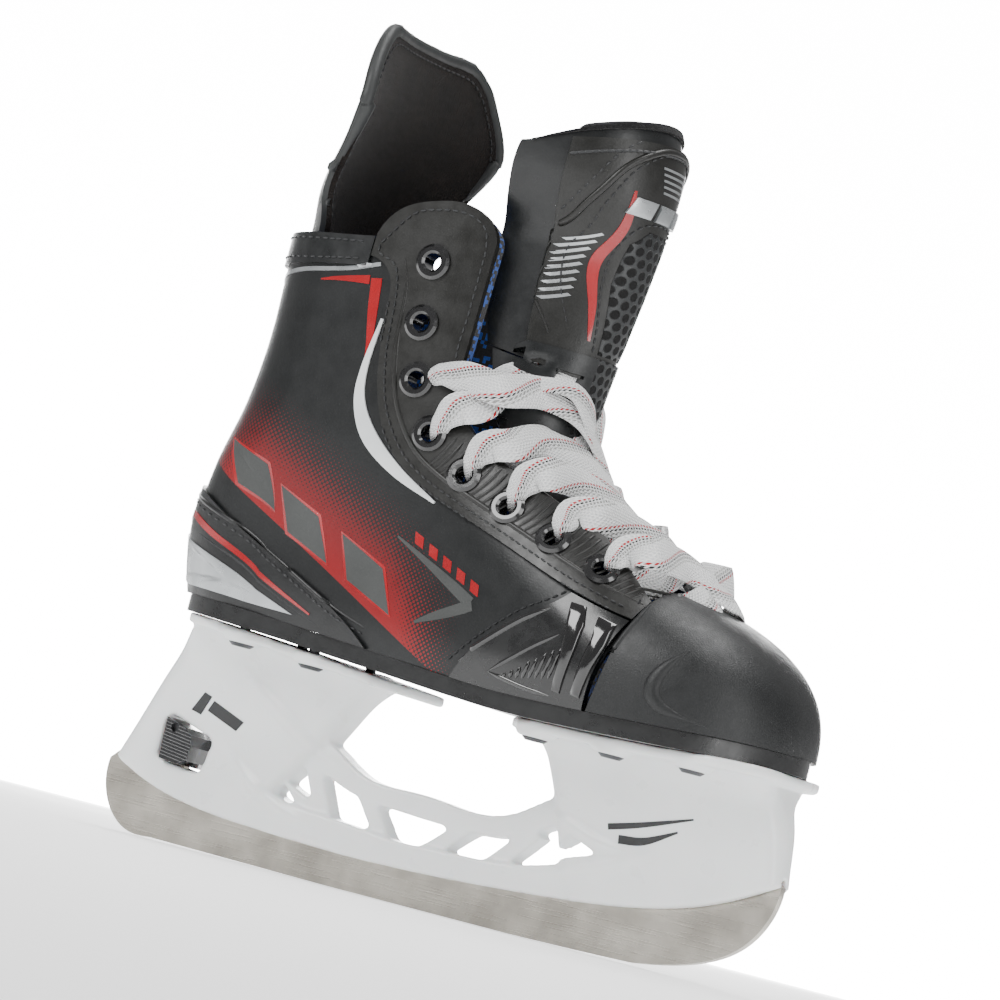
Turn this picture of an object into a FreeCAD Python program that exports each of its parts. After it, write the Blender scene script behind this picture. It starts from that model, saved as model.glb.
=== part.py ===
import FreeCAD, Part
import math
import os

# Junior ice hockey skate for the right foot, as an assembly of separate parts.
# Millimetres. +X points to the toe, +Y to the inner side of the foot, +Z up.
# The origin is under the middle of the runner, on the ice.

Vector = FreeCAD.Vector

# ---- driving dimensions -------------------------------------------------------------------
runner_length = 220.0        # overall length of the steel
runner_thick = 3.0
runner_inset = 5.5           # steel hidden inside the holder's slot
slot_gap = 0.4               # between the steel and the holder, all round
hook_x = 90.0                # front hook, about which the runner swings down
hook_z = 30.0
hook_radius = 4.5
release_angle = 4.0          # swing of the runner when the latch is open, degrees
sole_thick = 5.0
flange_thick = 3.0
rail_half = 5.5              # half thickness of the holder's bottom rail
truss_half = 4.5
heel_flange_half = 22.5
toe_flange_half = 29.0
rivet_shank = 1.6            # radius
rivet_head = 3.7             # radius
ankle_half = 31.0            # half width of the boot at the ankle
heel_half = 27.0
ball_half = 38.5             # half width across the ball of the foot
heel_round = 27.0            # depth of the rounding at the back of the heel
instep_round = 34.0          # depth over which the sides roll in to the instep
instep_corner = 28.0         # softness of the corner between shin and instep
quarter_thick = 1.5
liner_thick = 2.6
overlay_thick = 1.2
seam_gap = 0.06              # between layers that are glued face to face
eyelet_hole = 2.5            # radius of the way through
eyelet_flange = 5.2          # radius
eyelet_barrel = 3.1          # radius
toe_cap_thick = 2.2
tongue_thick = 7.0
guard_thick = 3.2
body_gap = 0.5               # between pieces that move against each other
lace_width = 7.0
lace_thick = 1.3
lace_lift = 3.6              # of a run over the front of the tongue
lace_rise = 8.0              # height of a run over its eyelets
trigger_pin_radius = 1.25

# ---- side view of the boot ----------------------------------------------------------------
back_line = [(58, -90.5), (74, -95.0), (92, -98.6), (110, -96.6), (130, -91.2), (150, -89.0),
             (170, -89.2), (186, -88.6), (215, -84.5)]          # (z, x) of the back of the quarter
foot_half_widths = [(-101, heel_half), (-40, heel_half + 0.4), (-5, heel_half + 4), (25, ball_half - 3),
                    (55, ball_half), (75, ball_half), (112, ball_half)]
sole_line = [(-112, 68.2), (-92, 67.3), (-60, 65.5), (-20, 62.6), (20, 59.8), (45, 59.6), (75, 60.6),
             (112, 62.6)]                                          # (x, z) of the outsole's underside
ankle_start, ankle_full = 85.0, 135.0                               # heights
toe_cap_centre = 60.0
toe_cap_reach = 45.0
toe_cap_top = 104.5


def smooth_table(points, value):
    """Cubic through a short list of (position, amount), with level ends."""
    if value <= points[0][0]:
        return points[0][1]
    if value >= points[-1][0]:
        return points[-1][1]
    i = max(k for k in range(len(points) - 1) if points[k][0] <= value)
    (a, p), (b, q) = points[i], points[i + 1]

    def slope(k):
        if k in (0, len(points) - 1):
            return (points[1][1] - points[0][1]) / (points[1][0] - points[0][0]) if k == 0 else 0.0
        return (points[k + 1][1] - points[k - 1][1]) / (points[k + 1][0] - points[k - 1][0])

    t = (value - a) / (b - a)
    m, n = slope(i) * (b - a), slope(i + 1) * (b - a)
    return (2 * t**3 - 3 * t**2 + 1) * p + (t**3 - 2 * t**2 + t) * m \
        + (3 * t**2 - 2 * t**3) * q + (t**3 - t**2) * n


def sole_under(x):
    return smooth_table(sole_line, x)


def sole_top(x):
    return sole_under(x) + sole_thick


def round_in(t):
    """Quarter circle from 0 at an edge to 1 at the full width."""
    t = min(max(t, 0.0), 1.0)
    return math.sqrt(1 - (1 - t) ** 2)


def full_width(x, z):
    ankle = min(max((z - ankle_start) / (ankle_full - ankle_start), 0.0), 1.0)
    ankle = ankle * ankle * (3 - 2 * ankle)
    tuck = 1 - 0.07 * (max(0.0, sole_top(x) + 12 - z) / 14) ** 2
    return (smooth_table(foot_half_widths, x) * (1 - ankle) + ankle_half * ankle) * tuck


def instep_height(x):
    return 136.5 - 0.27 * x - 0.0033 * x * x


def instep_depth(x, z):
    """How far a point of the side view lies inside the front and instep line."""
    behind_front = 0.03 * (180 - z) - x - 1.5
    slope = math.cos(math.atan(0.30 + 0.0066 * max(x, 0.0)))
    under_instep = (instep_height(x) - z) * slope
    both = behind_front - under_instep
    return 0.5 * (behind_front + under_instep + math.sqrt(both * both + instep_corner**2))


def skin_point(girth, z):
    """Point on the boot's skin: girth runs round from the back seam, + to the inner side."""
    turn = heel_round * math.pi / 2
    angle = min(abs(girth) / heel_round, math.pi / 2)
    x = smooth_table(back_line, z) + heel_round * (1 - math.cos(angle)) + max(0.0, abs(girth) - turn)
    width = full_width(x, z) * round_in(instep_depth(x, z) / instep_round)
    return Vector(x, math.copysign(width * math.sin(angle), girth), z)


def skin_normal(girth, z):
    along = skin_point(girth + 0.5, z) - skin_point(girth - 0.5, z)
    up = skin_point(girth, z + 0.5) - skin_point(girth, z - 0.5)
    return up.cross(along).normalize()


def girth_at(x, z, side):
    run = x - smooth_table(back_line, z)
    if run < heel_round:
        return side * heel_round * math.acos(1 - max(run, 0.0) / heel_round)
    return side * (heel_round * math.pi / 2 + run - heel_round)


def skin_place(x, z, side):
    """Surface point and outward direction at a place in the side view."""
    girth = girth_at(x, z, side)
    return skin_point(girth, z), skin_normal(girth, z)


# ---- building blocks ----------------------------------------------------------------------
def spline_edge(vectors):
    if len(vectors) == 2:
        return Part.makeLine(vectors[0], vectors[1])
    spline = Part.BSplineCurve()
    spline.interpolate(vectors)
    return spline.toShape()


def side_prism(runs, y0, y1):
    """Solid with an outline in the side view: each run is a line or a smooth curve of (x, z)."""
    edges = [spline_edge([Vector(x, y0, z) for x, z in run]) for run in runs]
    return Part.Face(Part.Wire(edges)).extrude(Vector(0, y1 - y0, 0))


def polygon(points):
    """Runs of straight lines round a list of corners."""
    return [[p, q] for p, q in zip(points, points[1:] + points[:1])]


def surface_through(rows):
    surface = Part.BSplineSurface()
    surface.interpolate(rows)
    return surface


def close_solid(faces):
    shell = Part.makeShell(faces)
    shell.sewShape()
    solid = Part.makeSolid(shell)
    if solid.Volume < 0:
        solid.reverse()
    return solid


def thick_sheet(outer_rows, inner_rows):
    """Closed solid between two grids of points that match row for row."""
    outer, inner = surface_through(outer_rows), surface_through(inner_rows)
    faces = [outer.toShape(), inner.toShape()]
    a, b, c, d = outer.bounds()
    for iso, at in (("uIso", a), ("uIso", b), ("vIso", c), ("vIso", d)):
        near, far = getattr(outer, iso)(at).toShape(), getattr(inner, iso)(at).toShape()
        faces.append(Part.makeRuledSurface(near, far, 1))
    return close_solid(faces)


def skin_layer(girths, low, high, inner, outer, rows=22):
    """Solid layer over the boot's skin, between two distances out from it."""
    grids = []
    for off in (outer, inner):
        grid = []
        for girth in girths:
            z0, z1 = low, high(girth)
            column = []
            for k in range(rows):
                z = z0 + (z1 - z0) * k / (rows - 1)
                column.append(skin_point(girth, z) + skin_normal(girth, z) * off)
            grid.append(column)
        grids.append(grid)
    return thick_sheet(grids[0], grids[1])


def steps(start, end, count):
    return [start + (end - start) * k / (count - 1) for k in range(count)]


def throat_top(girth):
    """Top of the skin that is laid out: full height at the ankle, just under the instep forward of it."""
    x = abs(girth) - heel_round * (math.pi / 2 - 1) - 89.5
    low = instep_height(x) - 3
    return low + (206 - low) / (1 + math.exp((x - 0.5) / 5.5))


side_girths = steps(0.05, 178, 50)
layers = {}


def side_layer(side, inner, outer):
    key = (side, inner, outer)
    if key not in layers:
        girths = [side * g for g in side_girths]
        layers[key] = skin_layer(girths, 56.0, throat_top, inner, outer)
    return layers[key]


def wrap_layer(reach, inner, outer, top):
    return skin_layer(steps(-reach, reach, 27), 56.0, lambda girth: top, inner, outer, 18)


def cut_piece(layer, runs, side):
    """The part of a layer inside a side view outline, on one side or, with 0, on both."""
    y0, y1 = (-60, 60) if side == 0 else (0, 60 * side)
    return layer.common(side_prism(runs, y0, y1))


def sole_run(x_from, x_to, lift):
    return [(x, sole_top(x) + lift) for x in steps(x_from, x_to, 9)]


# ---- boot shell ---------------------------------------------------------------------------
throat_run = [(-14.6, 152), (-9.8, 137.5), (1.2, 129.2), (15.4, 123.4), (31.3, 117.2), (47.6, 110.8),
              (59.5, 105.6)]
facing_seam = [(60.4, 93), (47, 95.6), (35, 99), (15.6, 105.5), (0, 110.5), (-16, 116.2), (-26, 122.5),
               (-35, 135), (-39.4, 151), (-41, 168)]
eyelet_places = [(-29.9, 179.3), (-28.6, 161.6), (-25.6, 145.4), (-17.4, 131.2), (-3.6, 121.7),
                 (12.4, 115.2), (29, 109.3), (45.6, 103.8)]


def quarter_outline():
    top = [(-14.6, 186), (-17.2, 193.4), (-24, 196.6), (-40.3, 193.9)]
    collar = [(-49.8, 182.6), (-75, 180.9), (-112, 180.9)]
    front = [(54.4, sole_top(54.4) + seam_gap), (55.7, 76), (60.1, 92), (61, 98), (59.5, 105.6)]
    return [sole_run(-112, 54.4, seam_gap), front, throat_run[::-1],
            [(-14.6, 152), (-14.6, 186)], top, [top[-1], collar[0]], collar,
            [collar[-1], (-112, sole_top(-112) + seam_gap)]]


def eyelet_tool(radius, side, reach):
    """Pins through the shell at every eyelet place, square to the skin."""
    pins = []
    for x, z in eyelet_places:
        point, out = skin_place(x, z, side)
        pins.append(Part.makeCylinder(radius, 2 * reach, point - out * reach, out))
    return Part.makeCompound(pins)


def quarter(side):
    shell = cut_piece(side_layer(side, -quarter_thick, 0), quarter_outline(), side)
    return shell.cut(eyelet_tool(eyelet_barrel + seam_gap, side, 8))


def liner(side):
    inner = -quarter_thick - seam_gap - liner_thick
    shell = cut_piece(side_layer(side, inner, -quarter_thick - seam_gap), quarter_outline(), side)
    return shell.cut(eyelet_tool(eyelet_barrel + 0.6, side, 9))


def facing_outline():
    crown = [(-49.9, 184.2), (-41, 194.4), (-33, 196.8), (-23.8, 197.6), (-17, 194.4), (-14, 186.5)]
    throat = [(-13.9, 152), (-9.2, 138.3), (1.6, 130.1), (15.8, 124.2), (31.6, 118), (48, 111.6), (57, 107.6)]
    front = [(57, 107.6), (61.8, 105), (62, 99.6), (60.4, 93)]
    hip = [(-41, 168), (-44, 175), (-50.2, 177.6)]
    return [crown, [(-14, 186.5), (-13.9, 152)], throat, front, facing_seam, hip, [(-50.2, 177.6), (-49.9, 184.2)]]


def facing(side):
    plate = cut_piece(side_layer(side, seam_gap, overlay_thick + 0.4), facing_outline(), side)
    return plate.cut(eyelet_tool(eyelet_barrel + seam_gap, side, 8))


def collar_band():
    outline = [[(-112, 181), (-75, 181), (-50.6, 183.4)], [(-50.6, 183.4), (-50.8, 174.8)],
               [(-50.8, 174.8), (-75, 171.8), (-112, 171.2)], [(-112, 171.2), (-112, 181)]]
    return cut_piece(wrap_layer(70, seam_gap, overlay_thick, 184), outline, 0)


def heel_counter():
    rim = [(-22, sole_top(-22) + seam_gap), (-36, 77), (-52.5, 84.6), (-76, 95.4), (-92, 102.4), (-112, 106)]
    outline = [sole_run(-112, -22, seam_gap), rim, [(-112, 106), (-112, sole_top(-112) + seam_gap)]]
    return cut_piece(wrap_layer(100, seam_gap, overlay_thick, 125), outline, 0)


def side_wrap(side):
    """Glossy wrap between the quarter and the toe cap."""
    crest = [(9, sole_top(9) + seam_gap), (17, 77), (28, 86.5), (37, 92), (41.5, 96.3)]
    outline = [crest, [(41.5, 96.3), (47, 94.9), (60, 92.3)], [(60, 92.3), (55.8, 76), (54.4, sole_top(54.4) + seam_gap)],
               sole_run(9, 54.4, seam_gap)[::-1]]
    return cut_piece(side_layer(side, seam_gap, overlay_thick + 0.4), outline, side)


def cap_point(angle, reach, off):
    """Toe cap dome: angle round in plan from one side to the other, reach 0 at the crown to 1 at the sole."""
    foot_z = sole_top(90)
    height = (1 - reach**3.0) ** (1 / 3.0) if reach < 1 else 0.0
    lean = 0.17 * (height * (toe_cap_top - foot_z))
    width = full_width(70, 80) + off
    plan = (abs(math.cos(angle)) ** 2.3 + abs(math.sin(angle)) ** 2.3) ** (-1 / 2.3)
    x = toe_cap_centre - 4 + lean * (1 - reach * max(0.0, math.cos(angle))) \
        + reach * plan * (toe_cap_reach + 4 + off) * math.cos(angle)
    crown = toe_cap_top - 0.24 * (x - toe_cap_centre) + off
    return Vector(x, reach * plan * width * math.sin(angle), foot_z - 3 + (crown - foot_z + 3) * height)


def toe_cap():
    angles = steps(-math.pi / 2, math.pi / 2, 33)
    reaches = [math.sin(t) for t in steps(0.16, math.pi / 2, 16)]
    grids = [[[cap_point(a, r, off) for r in reaches] for a in angles] for off in (0.8, 0.8 - toe_cap_thick)]
    dome = thick_sheet(grids[0], grids[1])
    under = [sole_run(40, 115, seam_gap), [(115, sole_top(115) + seam_gap), (115, 120)], [(115, 120), (65, 120)],
             [(65, 120), (62.4, 101), (60.9, 92), (56.3, 76), (54.9, sole_top(54.9) + 0.6)],
             [(54.9, sole_top(54.9) + 0.6), (40, sole_top(40) + seam_gap)]]
    return dome.common(side_prism(under, -60, 60))


# ---- sole ---------------------------------------------------------------------------------
def sole_plan(inset):
    """Plan outline of the foot, the same both sides."""
    heel_back = -94.5 + inset
    half = [(-76, heel_half - 1.5), (-40, heel_half - 1), (-10, heel_half + 2), (25, ball_half - 4.5),
            (58, ball_half - 1.2), (80, ball_half - 5), (96, ball_half - 17)]
    tip = toe_cap_centre + toe_cap_reach + 1.6 - inset
    near = [(heel_back, 0), (heel_back + 5, -15 + inset * 0.5)] + [(x, inset - h) for x, h in half] + [(tip, 0)]
    far = [(x, -y) for x, y in near[::-1]]
    loop = Part.BSplineCurve()
    loop.interpolate([Vector(x, y, 0) for x, y in near + far[1:-1]], PeriodicFlag=True)
    return Part.Face(Part.Wire([loop.toShape()]))


def sole_plate(inset, below, above):
    """Plate with the foot's plan, between two heights over the outsole's top."""
    plan = sole_plan(inset)
    plan.translate(Vector(0, 0, 40))
    low = [(x, sole_top(x) + below) for x in steps(-112, 112, 15)]
    high = [(x, sole_top(x) + above) for x in steps(-112, 112, 15)]
    band = side_prism([low, [low[-1], high[-1]], high[::-1], [high[0], low[0]]], -60, 60)
    return plan.extrude(Vector(0, 0, 60)).common(band)


def outsole():
    return sole_plate(0, -sole_thick, 0).cut(rivet_holes())


def insole_board():
    return sole_plate(8.0, seam_gap, 2.0)


def footbed():
    return sole_plate(9.5, 2.0 + seam_gap, 5.5)


# ---- blade holder -------------------------------------------------------------------------
heel_rivet_places = [(-67.5, 17.6), (-43.5, 17.6)]
toe_rivet_places = [(34.7, 22.5), (59.6, 23.5), (84.4, 22.5)]


def rounded_section(x0, x1, half, z, corner):
    """Closed rounded rectangle at one height."""
    r = min(corner, half * 0.95, (x1 - x0) * 0.45)
    box = Part.makeBox(x1 - x0, 2 * half, 1, Vector(x0, -half, z))
    box = box.makeFillet(r, [e for e in box.Edges if abs(e.tangentAt(0).z) > 0.9])
    faces = sorted(box.Faces, key=lambda f: f.CenterOfMass.z)
    return faces[0].OuterWire


def tower(sections):
    return Part.makeLoft([rounded_section(*s) for s in sections], True, False)


def rail_under(offset):
    """Bottom edge of the holder, seen from the side."""
    points = [(-106.2, 21.2), (-95.7, 16.8), (-76, 12.2), (-53, 10.5), (-18, 9.7), (10, 10.6), (35, 12.2),
              (60, 14.6), (83, 19.2), (97, 24.4), (109, 30.6)]
    return [(x, z + offset) for x, z in points]


def flange(x0, x1, half, drop, rise_ends):
    """Flat foot under the outsole, in line with its underside."""
    plan = Part.makeBox(x1 - x0, 2 * half, 60, Vector(x0, -half, 30))
    corners = [e for e in plan.Edges if abs(e.tangentAt(0).z) > 0.9]
    plan = plan.makeFillet(min(half, (x1 - x0) / 2) * 0.55, corners)
    top = [(x, sole_under(x) - seam_gap - drop * (x - x0) / (x1 - x0)) for x in steps(x0 - 2, x1 + 2, 7)]
    low = [(x, z - flange_thick + rise_ends) for x, z in top]
    return plan.common(side_prism([low, [low[-1], top[-1]], top[::-1], [top[0], low[0]]], -60, 60))


def rivet_pads():
    pads = []
    for places, radius in ((heel_rivet_places, 6.5), (toe_rivet_places, 6.5)):
        for x, y in places:
            for side in (-1, 1):
                top = sole_under(x) - seam_gap - 1.0
                pads.append(Part.makeCone(radius, radius - 1.2, flange_thick + 0.6, Vector(x, side * y, top),
                                          Vector(0, 0, -1)))
    return pads


def strut(points, width, half):
    """Flat bar between two points of the side view."""
    (x0, z0), (x1, z1) = points
    along = Vector(x1 - x0, 0, z1 - z0)
    across = Vector(-(z1 - z0), 0, x1 - x0).normalize() * (width / 2)
    ends = [Vector(x0, -half, z0), Vector(x1, -half, z1)]
    corners = [ends[0] + across, ends[1] + across, ends[1] - across, ends[0] - across]
    face = Part.Face(Part.makePolygon(corners + corners[:1]))
    return face.extrude(Vector(0, 2 * half, 0))


def bridge():
    """Open truss between the two towers: top bar, bottom rail and the struts between them."""
    top_bar = side_prism([[(-52, 44), (-38.6, 40.3), (-25, 33.2), (-5.6, 32.2), (16, 31), (24, 33), (33, 38.6), (44, 44)],
                          [(44, 44), (48, 36)], [(48, 36), (36, 31.6), (24, 26.4), (8, 25), (-15, 26), (-28, 27.6),
                                                 (-42, 33), (-56, 38)], [(-56, 38), (-52, 44)]],
                         -truss_half, truss_half)
    rail_top = [(-76, 24), (-60, 24), (-45, 20), (-29.3, 19), (-10, 17.4), (8, 18), (24, 18.6), (40, 21.8), (56, 27)]
    low = [p for p in rail_under(0) if -80 < p[0] < 62]
    rail = side_prism([rail_top, [rail_top[-1], low[-1]], low[::-1], [low[0], rail_top[0]]], -rail_half, rail_half)
    bars = [strut(ends, width, truss_half - 0.5) for ends, width in (
        (((-43, 34), (-34.5, 17.5)), 5.0), (((-25, 30), (-13.5, 15.5)), 4.6),
        (((-1, 15.5), (12.5, 27.5)), 4.6), (((21, 17), (33, 30)), 5.0), (((-48, 27), (-36, 16)), 5.0))]
    return [top_bar, rail] + bars


def window():
    """Opening for the blade trigger, rounded at its corners."""
    corners = [(-91.6, 37.6), (-75.2, 32.6), (-77.2, 21.6), (-92.4, 23.8)]
    solid = side_prism(polygon(corners), -40, 40)
    edges = [e for e in solid.Edges if abs(e.tangentAt(0).y) > 0.9]
    return solid.makeFillet(2.2, edges)


def tower_rear():
    sections = [(-112, -58, rail_half, 8, 4), (-106.3, -51, 6.4, 24, 5), (-100.4, -38.6, 7.4, 40, 6),
                (-96.5, -33, 8.6, 50, 7), (-93.8, -28.5, 10, 56.5, 8), (-91.4, -24, 13, 62, 9), (-90.6, -23, 13.5, 64, 9)]
    roof = [(-112, sole_under(-112) - 1.2), (-60, sole_under(-60) - 1.5), (-14, sole_under(-14) - 3)]
    return tower(sections).common(side_prism([roof, [roof[-1], (-14, 0)], [(-14, 0), (-112, 0)], [(-112, 0), roof[0]]],
                                             -60, 60))


def tower_front():
    sections = [(50, 114, rail_half, 8, 4), (40, 111.4, 6.2, 28, 5), (36, 109.4, 7.2, 39, 6),
                (31.5, 107.3, 9.4, 49, 8), (28.5, 105, 12.5, 54.5, 9), (26.5, 104.3, 16.5, 58, 10), (26.3, 104, 17, 60, 10)]
    return tower(sections).common(side_prism([[(20, 58.2), (60, 58.4), (112, 60.8)], [(112, 60.8), (118, 0)],
                                              [(118, 0), (20, 0)], [(20, 0), (20, 58.2)]], -60, 60))


def below_rail():
    low = [(-125, 26)] + rail_under(0) + [(125, 37)]
    return side_prism([low, [(125, 37), (125, -20)], [(125, -20), (-125, -20)], [(-125, -20), (-125, 26)]], -60, 60)


def holder_solids():
    body = tower_rear()
    for piece in [tower_front(), flange(-89, -15, heel_flange_half, 1.4, 0), flange(23.6, 105.5, toe_flange_half, 0, 0)] \
            + rivet_pads() + bridge():
        body = body.fuse(piece)
    return body


def blade_holder():
    body = holder_solids().cut(below_rail()).cut(window())
    truss_gaps = [[(-44.6, 31.8), (-50, 26.4), (-40.2, 22.6)], [(44.4, 31.4), (54.4, 27.8), (37, 22.6)]]
    for gap in truss_gaps:
        body = body.cut(side_prism(polygon(gap), -40, 40))
    body = body.cut(runner_path()).cut(pin_bore()).cut(rivet_holes())
    return max(body.Solids, key=lambda s: s.Volume)


def rivet_holes():
    holes = []
    for x, y in heel_rivet_places + toe_rivet_places:
        for side in (-1, 1):
            holes.append(Part.makeCylinder(rivet_shank + seam_gap, 30, Vector(x, side * y, 45)))
    return Part.makeCompound(holes)


def rivets(places):
    group = []
    for x, y in places:
        for side in (-1, 1):
            face = sole_under(x) - seam_gap - 1.0 - flange_thick - 0.6
            head = Part.makeCone(rivet_head - 1.0, rivet_head, 0.8, Vector(x, side * y, face - 1.0))
            rim = Part.makeCylinder(rivet_head, 0.2, Vector(x, side * y, face - 0.2))
            shank = Part.makeCylinder(rivet_shank, sole_top(x) - face, Vector(x, side * y, face - 0.2))
            group.append(head.fuse([rim, shank]).removeSplitter())
    return Part.makeCompound(group)


# ---- runner and latch ---------------------------------------------------------------------
latch_x, latch_z = -84.0, 31.0
pin_x, pin_z = -87.2, 33.4


def steel_top():
    """Top edge of the steel, from its heel end to its toe end."""
    half = runner_length / 2
    inside = [p for p in rail_under(runner_inset) if -100 < p[0] < 90]
    return [(-half, 20.5), (3.5 - half, 24)] + inside + [(99, 31.5), (half - 4.5, 34.5), (half, 31.5)]


def latch_post(grow):
    """Post at the heel end of the steel that the trigger's tooth holds up, on its leaning front edge."""
    left, right, top = latch_x - 5.6 - grow, latch_x + 0.4 + grow, latch_z - 0.5 + grow
    corners = [(left, 14), (left, top - 1), (left + 1, top), (right, top), (right - 1.3, top - 5.3), (right - 1.3, 14)]
    return Part.Face(Part.makePolygon([Vector(x, 0, z) for x, z in corners + corners[:1]]))


def hook_disc(grow):
    return Part.Face(Part.Wire(Part.makeCircle(hook_radius + grow, Vector(hook_x, 0, hook_z), Vector(0, 1, 0))))


def flat_face(runs):
    return Part.Face(Part.Wire([spline_edge([Vector(x, 0, z) for x, z in run]) for run in runs]))


def runner_face():
    """Side view of the steel, with its front hook and its latch post."""
    half = runner_length / 2
    top = steel_top()
    heel = [top[0], (3.4 - half, 7), (8.5 - half, 2.2), (18 - half, 0.6)]
    toe = [(half - 40, 0.9), (half - 18, 6), (half - 7.5, 12.5), (half - 1.8, 21), top[-1]]
    keel = [heel[-1], (-30, 0), (30, 0), toe[0]]
    face = flat_face([heel, keel, toe] + [[p, q] for p, q in zip(top[::-1], top[::-1][1:])])
    return face.fuse(latch_post(0)).fuse(hook_disc(0)).removeSplitter().Faces[0]


def slot_face():
    """Side view of the room the steel needs inside the holder."""
    top = [(x, z + slot_gap) for x, z in steel_top()]
    first, last = top[0], top[-1]
    ends = [(last[0] + 20, last[1]), (last[0] + 20, -40), (first[0] - 20, -40), (first[0] - 20, first[1])]
    face = flat_face(polygon(top + ends))
    return face.fuse(latch_post(slot_gap)).fuse(hook_disc(slot_gap)).removeSplitter().Faces[0]


def runner():
    steel = runner_face().extrude(Vector(0, runner_thick, 0))
    steel.translate(Vector(0, -runner_thick / 2, 0))
    hollow = Part.makeCylinder(9.0, runner_length, Vector(-runner_length / 2, 0, -8.87), Vector(1, 0, 0))
    return steel.cut(hollow)


def runner_path():
    """Slot in the holder: the steel's outline with clearance, at rest and on its way down."""
    half = runner_thick / 2 + slot_gap
    post_room = Part.makeBox(7.6, 2 * half, 17, Vector(latch_x - 6.4, -half, latch_z - 18))
    blank = slot_face().extrude(Vector(0, 2 * half, 0))
    blank.translate(Vector(0, -half, 0))
    swept = blank.fuse(post_room)
    for k in range(1, 5):
        turned = blank.copy()
        turned.rotate(Vector(hook_x, 0, hook_z), Vector(0, 1, 0), -release_angle * k / 4)
        swept = swept.fuse(turned)
    return swept


def pin_bore():
    return Part.makeCylinder(trigger_pin_radius, 60, Vector(pin_x, -30, pin_z), Vector(0, 1, 0))


def trigger_pin():
    return Part.makeCylinder(trigger_pin_radius, 13.6, Vector(pin_x, -6.8, pin_z), Vector(0, 1, 0))


def blade_trigger():
    """Finger lever in the window: two ridged cheeks, a web in front with the latch tooth."""
    corners = [(-90.6, 36.0), (-84, 34.0), (-81.4, 32.2), (-80.4, 29), (-81.0, 24.6), (-84, 23.2), (-90.0, 23.8)]
    block = side_prism(polygon(corners), -8.6, 8.6)
    block = block.common(Part.makeCylinder(11.3, 60, Vector(pin_x, -30, pin_z), Vector(0, 1, 0)))
    slot = side_prism(polygon([(-95, 18), (-84.4, 18), (-84.4, 25.2), (-83.0, 30.2), (-83.0, 31.4), (-95, 31.4)]),
                      -2.1, 2.1)
    bore = Part.makeCylinder(trigger_pin_radius + 0.06, 60, Vector(pin_x, -30, pin_z), Vector(0, 1, 0))
    block = block.cut(slot).cut(bore)
    for k in range(12):
        z = 24.4 + 0.95 * k
        for side in (-1, 1):
            groove = Part.makeCylinder(0.3, 16, Vector(-93, side * 8.7, z + 1.0), Vector(1, 0, -0.12))
            block = block.cut(groove)
    return block


# ---- tongue and tendon guard --------------------------------------------------------------
tongue_line = [(58, 104), (46, 112.5), (34, 119.5), (23, 128), (15.6, 139), (15.2, 152), (17.2, 166), (19.6, 182),
               (21.6, 200), (22.4, 214), (21.6, 226), (18.6, 235)]   # front of the tongue along its middle
tongue_split = 157.0        # height at which the upper tongue leaves the laced part


def tongue_half(z):
    return smooth_table([(100, 17), (120, 18.5), (140, 20.4), (190, 21), (202, 26), (214, 29.5), (236, 30)], z)


def tongue_point(t, angle, off):
    """Point on the tongue: t along it from the toe, angle across it, off inwards from its front."""
    curve = tongue_curve()
    a, b = curve.ParameterRange
    at = a + (b - a) * t
    middle = curve.valueAt(at)
    along = curve.tangentAt(at)[0] if isinstance(curve.tangentAt(at), tuple) else curve.tangentAt(at)
    front = Vector(along.z, 0, -along.x)
    depth = smooth_table([(0, 7), (0.3, 13), (0.45, 30), (0.6, 41), (0.8, 43), (1, 40)], t)
    half = tongue_half(middle.z)
    inwards = depth * (1 - math.cos(angle))
    shrink = off / max(depth, half)
    return middle - front * (off + inwards * (1 - shrink)) + Vector(0, (half - off * 0.9) * math.sin(angle), 0)


def tongue_curve():
    if "tongue" not in layers:
        layers["tongue"] = spline_edge([Vector(x, 0, z) for x, z in tongue_line])
    return layers["tongue"]


def tongue_sheet(t0, t1, spread, outer, inner, rows=19):
    angles = [math.radians(a) for a in steps(-spread, spread, 21)]
    shares = steps(t0, t1, rows)
    grids = [[[tongue_point(t, a, off) for a in angles] for t in shares] for off in (outer, inner)]
    return thick_sheet(grids[0], grids[1])


def tongue_share(z):
    """How far along the tongue its middle reaches a height."""
    curve = tongue_curve()
    a, b = curve.ParameterRange
    low, high = 0.0, 1.0
    for _ in range(30):
        mid = (low + high) / 2
        if curve.valueAt(a + (b - a) * mid).z < z:
            low = mid
        else:
            high = mid
    return low


def tongue_lower():
    return tongue_sheet(0.02, tongue_share(tongue_split - body_gap), 80, 0, tongue_thick - 2)


def tongue_upper(name):
    bottom = tongue_share(tongue_split)
    spans = {"tongue_foam": (bottom, 0.985, 84, 1.6, tongue_thick - 1.6),
             "tongue_shield": (bottom, 0.955, 62, 0.0, 1.6 - seam_gap),
             "tongue_lining": (bottom, 0.985, 84, tongue_thick - 1.6 + seam_gap, tongue_thick),
             "tongue_binding": (0.9855, 1.0, 80, 0.6, tongue_thick)}
    t0, t1, spread, outer, inner = spans[name]
    return tongue_sheet(t0, t1, spread, outer, inner, 5 if name == "tongue_binding" else 19)


guard_foot = 182.2
guard_top = 244.4
guard_back = [(guard_foot - 4, -86.6), (190, -84.6), (200, -81.6), (212, -75.6), (222, -71.6), (236, -70), (250, -70.4)]
guard_halves = [(guard_foot - 4, 24.6), (184, 25.6), (193.5, 33), (205, 38.6), (214, 42), (220, 43), (228, 41), (236, 36.4),
                (241, 32), (244.4, 26)]
guard_depths = [(guard_foot - 4, 12.6), (193.5, 13), (205, 13.6), (220, 11.4), (236, 6), (250, 3)]


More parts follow.
